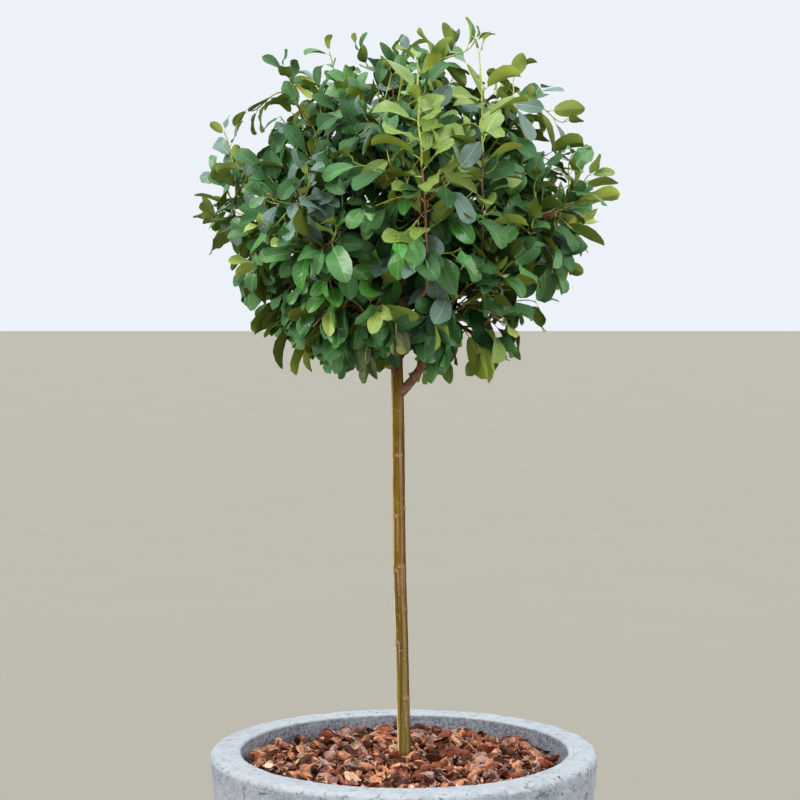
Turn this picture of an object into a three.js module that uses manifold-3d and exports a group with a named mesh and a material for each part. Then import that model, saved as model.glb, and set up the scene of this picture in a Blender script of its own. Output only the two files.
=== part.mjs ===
// A standard laurel in a concrete planter: one clear stem with a loose round head of leaves,
// set in soil under a mulch of husks. Units are millimetres and +Z is up. The origin is the
// centre of the planter's flat underside, +X is to the right and -Y is the front.

import * as THREE from 'three';
import { mergeVertices } from 'three/addons/utils/BufferGeometryUtils.js';
import Module from 'manifold-3d';

const wasm = await Module();
wasm.setup();

// ---------------------------------------------------------------- driving dimensions
const planter = {
  height: 600,
  rimRadius: 287, // outside, where it is widest
  rimWidth: 45, // flat top of the rim, from lip to lip
  outerRound: 10, // the rim's outer edge
  innerRound: 4, // the rim's inner edge
  collarHeight: 222, // the thicker band that carries the rim
  collarTaper: 4.7, // degrees
  collarStep: 27, // how far the body stands in under the collar
  bodyTaper: 5.4, // degrees
  footRound: 16,
  bodyWall: 26,
  floor: 42,
  sides: 36,
  drainHoles: 3,
  drainHoleRadius: 11,
  drainHoleCircle: 95,
};
const soilBelowRim = 46;
const mulch = { belowRimAtStem: 6, belowRimAtWall: 25, rings: 3, unevenness: 1.6 };
const stem = {
  lean: -11.5, // sideways, over its whole clear length
  waver: 0.9, // how far it wanders either side of that line
  footRadius: 13, // the flare, under the mulch
  flareHeight: 30,
  baseRadius: 9.6,
  topRadius: 8.9,
  forkHeight: 1204,
  nodeSpacing: 80, // between the rings that old leaves left
  nodeSwelling: 0.7,
  nodeHalfHeight: 7,
  sides: 12,
  steps: 22,
};
const head = {
  centre: new THREE.Vector3(-3, 0, 1405),
  depth: 0.98, // front to back, as a share of the width
  seedShare: 0.6, // how far out each mass has its middle
  clearing: 15, // open air between neighbouring masses
  stemRoom: 52, // kept clear round the stem and the fork
  roughness: 0.12, // how far leaves and hollows break up a mass, as a share of its radius
};
// The head's half width at each height: flat below, widest just under the middle, looser above.
const headProfile = [
  [1112, 0], [1128, 118], [1200, 196], [1320, 288], [1450, 300], [1560, 228], [1635, 140], [1672, 0],
];
// Places where one sees right through the head, as upright ovals: across, up and half sizes.
const windows = [
  { across: 176, up: 1271, halfWidth: 24, halfHeight: 13 },
  { across: 134, up: 1233, halfWidth: 14, halfHeight: 19 },
];
const touchGap = 0.3; // between pieces that meet

// Each mass of leaves: its bearing round the stem (0 is right, 90 back, 180 left, 270 front),
// its angle above the head's middle, and how far its longest shoot stands out of the ball.
const masses = [
  { name: 'low_front_left', bearing: 238, rise: -44, reach: 4 },
  { name: 'low_front_right', bearing: 312, rise: -42, reach: 8 },
  { name: 'low_back_right', bearing: 40, rise: -43, reach: 2 },
  { name: 'low_back_left', bearing: 142, rise: -42, reach: 5 },
  { name: 'front_left', bearing: 226, rise: -3, reach: 4 },
  { name: 'front', bearing: 276, rise: 4, reach: 6 },
  { name: 'right', bearing: 350, rise: 2, reach: 14 },
  { name: 'back_right', bearing: 58, rise: -1, reach: 6 },
  { name: 'back_left', bearing: 118, rise: 4, reach: 3 },
  { name: 'left', bearing: 177, rise: 3, reach: 9 },
  { name: 'shoulder_front', bearing: 262, rise: 47, reach: 2 },
  { name: 'shoulder_right', bearing: 350, rise: 44, reach: 14 },
  { name: 'shoulder_back', bearing: 88, rise: 44, reach: 5 },
  { name: 'shoulder_left', bearing: 184, rise: 40, reach: 12 },
  { name: 'top', bearing: 330, rise: 76, reach: 15 },
];

// Each bough: what it grows from and where along it (0 to 1), the mass it feeds,
// and its radius at either end.
const boughs = [
  { name: 'low_right', from: 'stem', at: 0.88, to: 'right', radii: [6.2, 4.2] },
  { name: 'low_front_left', from: 'stem', at: 0.915, to: 'low_front_left', radii: [3.6, 2.8] },
  { name: 'low_back_left', from: 'stem', at: 0.93, to: 'low_back_left', radii: [3.8, 3.0] },
  { name: 'left', from: 'stem', at: 0.965, to: 'left', radii: [5.2, 3.8] },
  { name: 'back', from: 'stem', at: 0.955, to: 'back_right', radii: [4.8, 3.6] },
  { name: 'leader', from: 'stem', at: 0.995, to: 'top', radii: [6.4, 4.0] },
  { name: 'front', from: 'stem', at: 0.975, to: 'front', radii: [4.2, 3.2] },
  { name: 'low_front_right', from: 'low_right', at: 0.22, to: 'low_front_right', radii: [3.6, 2.8] },
  { name: 'low_back_right', from: 'back', at: 0.24, to: 'low_back_right', radii: [3.4, 2.7] },
  { name: 'back_left', from: 'leader', at: 0.12, to: 'back_left', radii: [4.0, 3.2] },
  { name: 'front_left', from: 'left', at: 0.3, to: 'front_left', radii: [3.8, 3.0] },
  { name: 'shoulder_left', from: 'left', at: 0.52, to: 'shoulder_left', radii: [3.8, 3.0] },
  { name: 'shoulder_right', from: 'low_right', at: 0.55, to: 'shoulder_right', radii: [4.0, 3.0] },
  { name: 'shoulder_back', from: 'leader', at: 0.34, to: 'shoulder_back', radii: [3.8, 3.0] },
  { name: 'shoulder_front', from: 'leader', at: 0.46, to: 'shoulder_front', radii: [3.6, 2.8] },
];

const finishes = {
  concrete: { color: 0xb9bec2, roughness: 0.85, metalness: 0 },
  soil: { color: 0x2c211a, roughness: 1, metalness: 0 },
  mulch: { color: 0x8a4f37, roughness: 0.7, metalness: 0 },
  stemBark: { color: 0x6e571c, roughness: 0.5, metalness: 0 },
  boughBark: { color: 0x7c4630, roughness: 0.7, metalness: 0 },
  leaves: { color: 0x4f6b42, roughness: 0.5, metalness: 0 },
};

// ---------------------------------------------------------------- helpers
const object = new THREE.Group();
const radians = THREE.MathUtils.degToRad;

function add(name, geometry, finish) {
  const mesh = new THREE.Mesh(geometry, new THREE.MeshStandardMaterial(finishes[finish]));
  mesh.name = name;
  object.add(mesh);
}

function bare(geometry) {
  geometry.deleteAttribute('normal');
  geometry.deleteAttribute('uv');
  return mergeVertices(geometry, 1e-4);
}

function toSolid(geometry) {
  const merged = bare(geometry.clone());
  const vertProperties = new Float32Array(merged.attributes.position.array);
  const triVerts = new Uint32Array(merged.index.array);
  return new wasm.Manifold(new wasm.Mesh({ numProp: 3, vertProperties, triVerts }));
}

function toGeometry(solid) {
  const mesh = solid.getMesh();
  const geometry = new THREE.BufferGeometry();
  geometry.setAttribute('position', new THREE.BufferAttribute(mesh.vertProperties, 3));
  geometry.setIndex(new THREE.BufferAttribute(mesh.triVerts, 1));
  geometry.computeVertexNormals();
  return geometry;
}

function largestPiece(solid) {
  return solid.decompose().reduce((a, b) => (a.volume() >= b.volume() ? a : b));
}

// A slow swell from -1 to 1 over directions, different for each seed.
function swell(direction, seed) {
  const { x, y, z } = direction;
  const broad = Math.sin(2.6 * x + 1.9 * y + seed) * Math.cos(2.2 * z - 1.4 * x + 2 * seed);
  const fine = Math.sin(7.3 * y - 6.1 * z + 3 * seed) * Math.cos(6.7 * x + 7.9 * z - seed);
  return 0.5 * broad + 0.5 * fine;
}

// ---------------------------------------------------------------- planter, soil, mulch
function arc(radius, centreX, centreY, startDegrees, endDegrees, steps) {
  const points = [];
  for (let i = 0; i <= steps; i++) {
    const angle = radians(startDegrees + ((endDegrees - startDegrees) * i) / steps);
    const x = centreX + radius * Math.cos(angle);
    const y = centreY + radius * Math.sin(angle);
    points.push(new THREE.Vector2(x, y));
  }
  return points;
}

const collarFoot = planter.height - planter.collarHeight;
const collarFootRadius =
  planter.rimRadius - planter.collarHeight * Math.tan(radians(planter.collarTaper));
const bodyTopRadius = collarFootRadius - planter.collarStep;
const footRadius = bodyTopRadius - collarFoot * Math.tan(radians(planter.bodyTaper));
const mouthRadius = planter.rimRadius - planter.rimWidth;
const collarUnderslope = 8; // the collar's underside rises towards the body

// The bore's radius at a height: straight down from the mouth, then in with the body.
function boreRadius(z) {
  const waist = bodyTopRadius - planter.bodyWall;
  const bottom = footRadius - planter.bodyWall;
  const upper = (z - collarFoot) / planter.collarHeight;
  const lower = (z - planter.floor) / (collarFoot - planter.floor);
  return z > collarFoot
    ? THREE.MathUtils.lerp(waist, mouthRadius, upper)
    : THREE.MathUtils.lerp(bottom, waist, lower);
}

function turned(profile, sides) {
  const geometry = new THREE.LatheGeometry(profile, sides);
  return geometry.rotateX(Math.PI / 2); // the lathe turns about Y
}

function planterShape() {
  const { height, rimRadius, outerRound, innerRound, footRound, floor } = planter;
  const profile = [
    new THREE.Vector2(0, 0),
    ...arc(footRound, footRadius - footRound, footRound, -90, 0, 2),
    new THREE.Vector2(bodyTopRadius, collarFoot + collarUnderslope),
    new THREE.Vector2(collarFootRadius, collarFoot),
    ...arc(outerRound, rimRadius - outerRound, height - outerRound, 0, 90, 3),
    ...arc(innerRound, mouthRadius + innerRound, height - innerRound, 90, 180, 1),
    new THREE.Vector2(boreRadius(collarFoot), collarFoot),
    new THREE.Vector2(boreRadius(floor), floor),
    new THREE.Vector2(0, floor),
  ];
  let solid = toSolid(turned(profile, planter.sides));
  for (let i = 0; i < planter.drainHoles; i++) {
    const bearing = (i / planter.drainHoles) * 2 * Math.PI + 0.5;
    const hole = new THREE.CylinderGeometry(
      planter.drainHoleRadius, planter.drainHoleRadius, floor * 2, 14);
    hole.rotateX(Math.PI / 2);
    hole.translate(
      planter.drainHoleCircle * Math.cos(bearing),
      planter.drainHoleCircle * Math.sin(bearing), floor / 2);
    solid = solid.subtract(toSolid(hole));
  }
  return toGeometry(solid);
}

const soilTop = planter.height - soilBelowRim;

// The bore's facets stand in from the true circle, so what fills it follows the facets.
const fillGap = touchGap / Math.cos(Math.PI / planter.sides);

function soilShape() {
  const foot = planter.floor + touchGap;
  const profile = [
    new THREE.Vector2(0, foot),
    new THREE.Vector2(boreRadius(foot) - fillGap, foot),
    new THREE.Vector2(boreRadius(collarFoot) - fillGap, collarFoot),
    new THREE.Vector2(boreRadius(soilTop) - fillGap, soilTop),
    new THREE.Vector2(0, soilTop),
  ];
  return turned(profile, planter.sides);
}

// The layer of husks: a low heap, highest round the stem, with a flat underside.
function mulchShape(stemSolid) {
  const foot = soilTop + touchGap;
  const edge = planter.height - mulch.belowRimAtWall;
  const crest = planter.height - mulch.belowRimAtStem;
  const edgeRadius = boreRadius(edge) - fillGap;
  const profile = [
    new THREE.Vector2(0, foot),
    new THREE.Vector2(boreRadius(foot) - fillGap, foot),
  ];
  for (let i = 0; i <= mulch.rings; i++) {
    const share = 1 - i / mulch.rings;
    profile.push(new THREE.Vector2(edgeRadius * share, crest + (edge - crest) * share ** 2));
  }
  const geometry = bare(turned(profile, planter.sides));
  const position = geometry.attributes.position;
  for (let i = 0; i < position.count; i++) {
    const place = new THREE.Vector3().fromBufferAttribute(position, i);
    const radius = Math.hypot(place.x, place.y);
    if (place.z < foot + 1 || radius > edgeRadius - 1) continue;
    const bump = swell(place.multiplyScalar(1 / 60), 4);
    position.setZ(i, position.getZ(i) + mulch.unevenness * bump);
  }
  return toGeometry(toSolid(geometry).subtract(stemSolid));
}

// ---------------------------------------------------------------- limbs
// A closed round limb along a path. It is a cylinder whose rings are moved onto the path,
// and radiusAt gives its radius at each share of the length.
function limb(path, radiusAt, sides, steps) {
  const geometry = bare(new THREE.CylinderGeometry(1, 1, 1, sides, steps));
  const frames = path.computeFrenetFrames(steps, false);
  const position = geometry.attributes.position;
  for (let i = 0; i < position.count; i++) {
    const share = position.getY(i) + 0.5;
    const ring = Math.round(share * steps);
    const radius = radiusAt(share);
    const place = path.getPointAt(share)
      .addScaledVector(frames.normals[ring], radius * position.getX(i))
      .addScaledVector(frames.binormals[ring], -radius * position.getZ(i));
    position.setXYZ(i, place.x, place.y, place.z);
  }
  return geometry;
}

const clearStem = stem.forkHeight - soilTop;

// The stem leans a little and wavers as it goes up; its foot stands square on the soil.
function stemPath(lowest = soilTop) {
  const points = [];
  const stations = 8;
  for (let i = 0; i <= stations; i++) {
    const z = THREE.MathUtils.lerp(lowest, stem.forkHeight, i / stations);
    const share = (z - soilTop) / clearStem;
    const waver = stem.waver * Math.sin(share * 9);
    points.push(new THREE.Vector3(stem.lean * share + waver, 0.7 * waver, z));
  }
  return new THREE.CatmullRomCurve3(points);
}

function stemRadius(share) {
  const height = share * clearStem;
  const flare = (stem.footRadius - stem.baseRadius) * Math.exp(-height / (stem.flareHeight / 2));
  const toNode = Math.abs(((height + stem.nodeSpacing / 3) % stem.nodeSpacing) - stem.nodeSpacing / 2);
  const node = stem.nodeSwelling * Math.max(0, 1 - toNode / stem.nodeHalfHeight);
  return THREE.MathUtils.lerp(stem.baseRadius, stem.topRadius, share) + flare + node;
}

// ---------------------------------------------------------------- masses of leaves
function direction(bearing, rise) {
  const flat = Math.cos(radians(rise));
  return new THREE.Vector3(
    flat * Math.cos(radians(bearing)), flat * Math.sin(radians(bearing)), Math.sin(radians(rise)));
}

function insideHead(place) {
  const above = headProfile.findIndex(([height]) => height > place.z);
  if (above < 1) return false;
  const [lowHeight, lowWidth] = headProfile[above - 1];
  const [highHeight, highWidth] = headProfile[above];
  const share = (place.z - lowHeight) / (highHeight - lowHeight);
  const halfWidth = THREE.MathUtils.lerp(lowWidth, highWidth, share);
  return Math.hypot(place.x - head.centre.x, place.y / head.depth) < halfWidth;
}

// How far it is from a place inside the head to its surface, found by halving.
function distanceToSurface(from, along) {
  let near = 0;
  let far = 700;
  for (let i = 0; i < 24; i++) {
    const middle = (near + far) / 2;
    if (insideHead(from.clone().addScaledVector(along, middle))) near = middle;
    else far = middle;
  }
  return near;
}

for (const mass of masses) {
  const outward = direction(mass.bearing, mass.rise);
  const reach = distanceToSurface(head.centre, outward);
  mass.middle = head.centre.clone().addScaledVector(outward, head.seedShare * reach);
  mass.tip = head.centre.clone().addScaledVector(outward, reach + mass.reach);
}

// The stem and the fork, as points that every mass keeps its distance from.
const stemPoints = [1150, 1204, 1270].map((z) => new THREE.Vector3(stem.lean, 0, z));

// A mass's radius about its own middle: out to the surface, and half way to each neighbour.
function massRadius(mass, along, seed) {
  const limits = [distanceToSurface(mass.middle, along)];
  for (const other of masses) {
    const towards = other.middle.clone().sub(mass.middle);
    const half = towards.length() / 2 - head.clearing / 2;
    const facing = along.dot(towards.normalize());
    if (other !== mass && facing > 0.05) limits.push(half / facing);
  }
  for (const point of stemPoints) {
    const towards = point.clone().sub(mass.middle);
    const room = towards.length() - head.stemRoom;
    const facing = along.dot(towards.normalize());
    if (facing > 0.05) limits.push(room / facing);
  }
  const power = 14; // a soft least value, so that the mass has no sharp edges
  const soft = limits.reduce((sum, limit) => sum + limit ** -power, 0) ** (-1 / power);
  const hollow = 0.5 - 0.5 * swell(along.clone().multiplyScalar(2.2), seed);
  return soft * (1 - head.roughness * hollow);
}

const massDetail = 3;

function massShape(mass, seed) {
  const geometry = bare(new THREE.IcosahedronGeometry(1, massDetail));
  const position = geometry.attributes.position;
  const tipOffset = mass.tip.clone().sub(mass.middle);
  const turn = new THREE.Quaternion().setFromUnitVectors(
    new THREE.Vector3().fromBufferAttribute(position, 0).normalize(),
    tipOffset.clone().normalize());
  for (let i = 0; i < position.count; i++) {
    const along = new THREE.Vector3().fromBufferAttribute(position, i).normalize();
    along.applyQuaternion(turn);
    const radius = i === 0 ? tipOffset.length() : massRadius(mass, along, seed);
    const place = mass.middle.clone().addScaledVector(along, radius);
    position.setXYZ(i, place.x, place.y, place.z);
  }
  return geometry;
}

// What a window takes out of the masses: an oval bar from front to back.
function windowShape(window) {
  const bar = new THREE.CylinderGeometry(1, 1, 800, 7);
  bar.scale(window.halfWidth, 1, window.halfHeight);
  bar.translate(window.across, 0, window.up);
  return toSolid(bar);
}

// The same mass, larger by the touching gap: what a bough is cut off by.
function grownMass(geometry, mass) {
  const grown = geometry.clone();
  const size = 1 + touchGap / 60;
  grown.translate(-mass.middle.x, -mass.middle.y, -mass.middle.z);
  grown.scale(size, size, size);
  grown.translate(mass.middle.x, mass.middle.y, mass.middle.z);
  return toSolid(grown);
}

// ---------------------------------------------------------------- boughs
const boughSides = 6;
const boughSteps = 6;
const boughBite = 9; // how far a bough is drawn into its mass before the mass cuts it

// A bough leaves its parent between the parent's own line and its mass, and bends over to the mass.
function boughPath(bough, parentPath, mass) {
  const start = parentPath.getPointAt(bough.at);
  const parentLine = parentPath.getTangentAt(bough.at);
  const reach = mass.middle.clone().sub(start);
  const arrival = mass.middle.clone().sub(head.centre).normalize();
  const sideways = reach.clone().setZ(0);
  const first = start.clone()
    .addScaledVector(parentLine, 0.07 * reach.length())
    .addScaledVector(reach, 0.14)
    .addScaledVector(sideways, 0.12);
  const second = mass.middle.clone()
    .addScaledVector(arrival, -0.22 * reach.length())
    .addScaledVector(new THREE.Vector3(0, 0, -1), 0.12 * reach.length());
  return new THREE.CubicBezierCurve3(start, first, second, mass.middle);
}

// The first stretch of the path, up to a little way inside the mass.
function cutToMass(path, mass, seed) {
  const samples = 200;
  const length = path.getLength();
  let end = 1;
  for (let i = 1; i <= samples; i++) {
    const offset = path.getPointAt(i / samples).sub(mass.middle);
    if (offset.length() < massRadius(mass, offset.clone().normalize(), seed)) {
      end = Math.min(1, i / samples + boughBite / length);
      break;
    }
  }
  const points = [];
  for (let i = 0; i <= boughSteps; i++) points.push(path.getPointAt((end * i) / boughSteps));
  return new THREE.CatmullRomCurve3(points);
}

// ---------------------------------------------------------------- the object
add('planter', planterShape(), 'concrete');
add('soil', soilShape(), 'soil');

const wholeStem = stemPath();
const stemShape = limb(stemPath(soilTop + touchGap), stemRadius, stem.sides, stem.steps);
const stemGrown = toSolid(
  limb(wholeStem, (share) => stemRadius(share) + touchGap, stem.sides, stem.steps));
add('mulch', mulchShape(stemGrown), 'mulch');
add('stem', stemShape, 'stemBark');

const paths = { stem: wholeStem };
const grownBoughs = {};
let taken = stemGrown;
for (const bough of boughs) {
  const seed = masses.findIndex((mass) => mass.name === bough.to);
  const mass = masses[seed];
  const path = cutToMass(boughPath(bough, paths[bough.from], mass), mass, seed);
  const radiusAt = (share) => THREE.MathUtils.lerp(bough.radii[0], bough.radii[1], share);
  const shape = toSolid(limb(path, radiusAt, boughSides, boughSteps));
  const room = taken.add(grownMass(massShape(mass, seed), mass));
  add(`bough_${bough.name}`, toGeometry(largestPiece(shape.subtract(room))), 'boughBark');
  const grown = limb(path, (share) => radiusAt(share) + touchGap, boughSides, boughSteps);
  grownBoughs[bough.to] = toSolid(grown);
  taken = taken.add(grownBoughs[bough.to]);
  paths[bough.name] = path;
}

// A mass gives way to the boughs that pass it on their way to another, and to the windows.
masses.forEach((mass, seed) => {
  let solid = toSolid(massShape(mass, seed));
  for (const other of masses) {
    if (other !== mass) solid = solid.subtract(grownBoughs[other.name]);
  }
  for (const window of windows) solid = solid.subtract(windowShape(window));
  add(`mass_${mass.name}`, toGeometry(largestPiece(solid)), 'leaves');
});

export default object;
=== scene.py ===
# A standard laurel in a concrete planter: the planter, its compost and mulch of husks, the bare
# stem, the boughs and twigs of the head, and its leaves. Everything is in metres, +Z up, with
# the middle of the planter's underside at the origin and the front towards -Y.

import math

import bmesh
import bpy
import numpy as np
from mathutils import Matrix, Vector, noise
from mathutils.bvhtree import BVHTree


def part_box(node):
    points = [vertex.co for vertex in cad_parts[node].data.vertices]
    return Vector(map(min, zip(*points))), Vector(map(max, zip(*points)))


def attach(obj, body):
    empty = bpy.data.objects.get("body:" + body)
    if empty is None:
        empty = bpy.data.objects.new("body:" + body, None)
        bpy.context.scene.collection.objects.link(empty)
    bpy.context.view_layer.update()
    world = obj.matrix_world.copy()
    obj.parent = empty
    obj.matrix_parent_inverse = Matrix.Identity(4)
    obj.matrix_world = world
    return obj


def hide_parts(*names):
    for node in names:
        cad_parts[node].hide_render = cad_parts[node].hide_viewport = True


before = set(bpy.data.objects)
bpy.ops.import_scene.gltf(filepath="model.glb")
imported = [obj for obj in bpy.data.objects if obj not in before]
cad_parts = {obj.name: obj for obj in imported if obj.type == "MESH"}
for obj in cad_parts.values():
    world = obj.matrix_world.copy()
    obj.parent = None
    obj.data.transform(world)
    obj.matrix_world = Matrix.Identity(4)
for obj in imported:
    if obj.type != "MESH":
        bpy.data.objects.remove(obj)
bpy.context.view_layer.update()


# ---------------------------------------------------------------------------- the planter
# One casting of fibre concrete: a body that widens upwards and a thicker collar that ends in a
# broad flat rim. It was cast in a mould of two halves, which left a hairline seam on each side,
# pinholes where air was trapped, and three holes in its floor.

RIM_RADIUS, _, PLANTER_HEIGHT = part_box("planter")[1]
RIM_WIDTH = 0.045
COLLAR_HEIGHT = 0.222
COLLAR_STEP = 0.027
COLLAR_TAPER = math.tan(math.radians(4.7))
BODY_TAPER = math.tan(math.radians(5.4))
WALL = 0.026
FLOOR = 0.042
DRAIN_HOLES, DRAIN_RADIUS, DRAIN_CIRCLE = 3, 0.011, 0.095
PLANTER_SIDES = 288
SEAM_BEARING = math.radians(218)

MOUTH_RADIUS = RIM_RADIUS - RIM_WIDTH
COLLAR_FOOT = PLANTER_HEIGHT - COLLAR_HEIGHT
COLLAR_FOOT_RADIUS = RIM_RADIUS - COLLAR_HEIGHT * COLLAR_TAPER
BODY_TOP_RADIUS = COLLAR_FOOT_RADIUS - COLLAR_STEP
FOOT_RADIUS = BODY_TOP_RADIUS - COLLAR_FOOT * BODY_TAPER


def in_scene(name, data):
    """Puts a mesh, curve, lamp or camera into the scene as an object."""
    thing = bpy.data.objects.new(name, data)
    bpy.context.scene.collection.objects.link(thing)
    return thing


def mesh_object(name, vertices, faces):
    mesh = bpy.data.meshes.new(name)
    mesh.from_pydata([tuple(v) for v in vertices], [], faces)
    mesh.polygons.foreach_set("use_smooth", [True] * len(mesh.polygons))
    return in_scene(name, mesh)


def bearings(sides):
    return np.linspace(0, 2 * math.pi, sides, endpoint=False)


def wall_faces(rings, sides, first=0):
    """The faces between rings of points that lie one above the other, from vertex first on."""
    faces = []
    for low in range(first, first + (rings - 1) * sides, sides):
        for i in range(sides):
            j = (i + 1) % sides
            faces.append((low + i, low + j, low + sides + j, low + sides + i))
    return faces


def turned(name, profile, sides):
    """A closed body turned round Z from (radius, height) points that start and end on the axis."""
    vertices = [(0, 0, profile[0][1])]
    for radius, height in profile[1:-1]:
        vertices += [(radius * math.cos(a), radius * math.sin(a), height) for a in bearings(sides)]
    vertices.append((0, 0, profile[-1][1]))
    faces = wall_faces(len(profile) - 2, sides, first=1)
    last = len(vertices) - 1
    top = last - sides
    for i in range(sides):
        j = (i + 1) % sides
        faces += [(0, 1 + j, 1 + i), (last, top + i, top + j)]
    return mesh_object(name, vertices, faces)


def arc(radius, middle, start, end, steps):
    angles = np.radians(np.linspace(start, end, steps + 1))
    return [(middle[0] + radius * math.cos(a), middle[1] + radius * math.sin(a)) for a in angles]


def stretch(start, end, steps):
    """Points along a straight stretch of a profile, without its first one."""
    start, end = np.array(start), np.array(end)
    return [tuple(start + (end - start) * i / steps) for i in range(1, steps + 1)]


def bore_radius(z):
    """The planter's inside radius at a height."""
    waist, bottom = BODY_TOP_RADIUS - WALL, FOOT_RADIUS - WALL
    if z > COLLAR_FOOT:
        return waist + (MOUTH_RADIUS - waist) * (z - COLLAR_FOOT) / COLLAR_HEIGHT
    return bottom + (waist - bottom) * (z - FLOOR) / (COLLAR_FOOT - FLOOR)


def planter_profile():
    """From the middle of the underside, up the outside, over the rim and down to the floor."""
    outer, inner, foot, lip = 0.010, 0.004, 0.016, 0.004  # how round each edge is
    height = PLANTER_HEIGHT
    points = [(0, 0), (0.05, 0), (0.11, 0), (0.16, 0)]
    points += arc(foot, (FOOT_RADIUS - foot, foot), -90, 0, 6)
    points += stretch(points[-1], (BODY_TOP_RADIUS, COLLAR_FOOT + 0.006), 22)
    points += arc(lip, (COLLAR_FOOT_RADIUS - lip - 0.0005, COLLAR_FOOT + lip), -90, 0, 4)
    points += stretch(points[-1], (RIM_RADIUS - 0.0008, height - outer - 0.006), 14)
    points += arc(outer, (RIM_RADIUS - outer, height - outer), 0, 90, 7)
    points += stretch(points[-1], (MOUTH_RADIUS + inner, height), 9)
    points += arc(inner, (MOUTH_RADIUS + inner, height - inner), 90, 180, 4)[1:]
    for z, steps in ((height - 0.05, 12), (COLLAR_FOOT, 8), (FLOOR, 6)):
        points += stretch(points[-1], (bore_radius(z), z), steps)
    points += [(0.12, FLOOR), (0.05, FLOOR), (0, FLOOR)]
    return points


def weather(planter):
    """The casting is a little out of true, and its edges are worn and chipped here and there."""
    for vertex in planter.data.vertices:
        place = vertex.co.copy()
        if place.z < 0.004:
            continue
        radius = math.hypot(place.x, place.y)
        away = Vector((place.x, place.y, 0)) / max(radius, 1e-6)
        wander = 0.0007 * noise.noise(place * 7) + 0.00035 * noise.noise(place * 31)
        below = place.z - PLANTER_HEIGHT + 0.003
        wear = max(0.0, 1 - math.hypot(radius - RIM_RADIUS + 0.003, below) / 0.014)
        chip = max(0.0, noise.noise(place * 42 + Vector((5, 0, 2))) - 0.16)
        mouth = max(0.0, 1 - math.hypot(radius - MOUTH_RADIUS - 0.002, below) / 0.010)
        ragged = 0.0016 * noise.noise(place * 60) + 0.0010 * noise.noise(place * 140)
        in_mouth = radius < MOUTH_RADIUS + 0.002 and place.z > COLLAR_FOOT
        wall = 0.0007 * noise.noise(place * 95) if in_mouth else 0.0
        vertex.co += away * (wander + wall - 0.008 * wear * chip + mouth * ragged)
        vertex.co.z += 0.0005 * noise.noise(place * 17) + 0.0004 * noise.noise(place * 70)
        vertex.co.z -= 0.006 * wear * chip + mouth * abs(ragged)
        vertex.co.z = min(vertex.co.z, PLANTER_HEIGHT)


def bore_drain_holes(planter):
    for i in range(DRAIN_HOLES):
        bearing = i / DRAIN_HOLES * 2 * math.pi + 0.5
        bpy.ops.mesh.primitive_cylinder_add(
            vertices=40, radius=DRAIN_RADIUS, depth=0.2,
            location=(DRAIN_CIRCLE * math.cos(bearing), DRAIN_CIRCLE * math.sin(bearing), 0))
        drill = bpy.context.object
        cut = planter.modifiers.new("drain", "BOOLEAN")
        cut.object = drill
        cut.operation = "DIFFERENCE"
        bored = bpy.data.meshes.new_from_object(
            planter.evaluated_get(bpy.context.evaluated_depsgraph_get()))
        planter.modifiers.remove(cut)
        planter.data = bored
        bpy.data.objects.remove(drill)


class Tree:
    """A tree of nodes under construction."""

    def __init__(self, tree):
        self.nodes, self.links = tree.nodes, tree.links

    def link(self, source, target):
        """Feeds a socket from another node's output, or sets it to a plain value or colour."""
        if hasattr(source, "is_output"):
            self.links.new(source, target)
        else:
            target.default_value = (*source, 1) if target.type == "RGBA" else source

    def math(self, operation, a, b=0.0):
        node = self.nodes.new("ShaderNodeMath")
        node.operation = operation
        self.link(a, node.inputs[0])
        self.link(b, node.inputs[1])
        return node.outputs[0]

    def times(self, *factors):
        product = factors[0]
        for factor in factors[1:]:
            product = self.math("MULTIPLY", product, factor)
        return product


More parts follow.
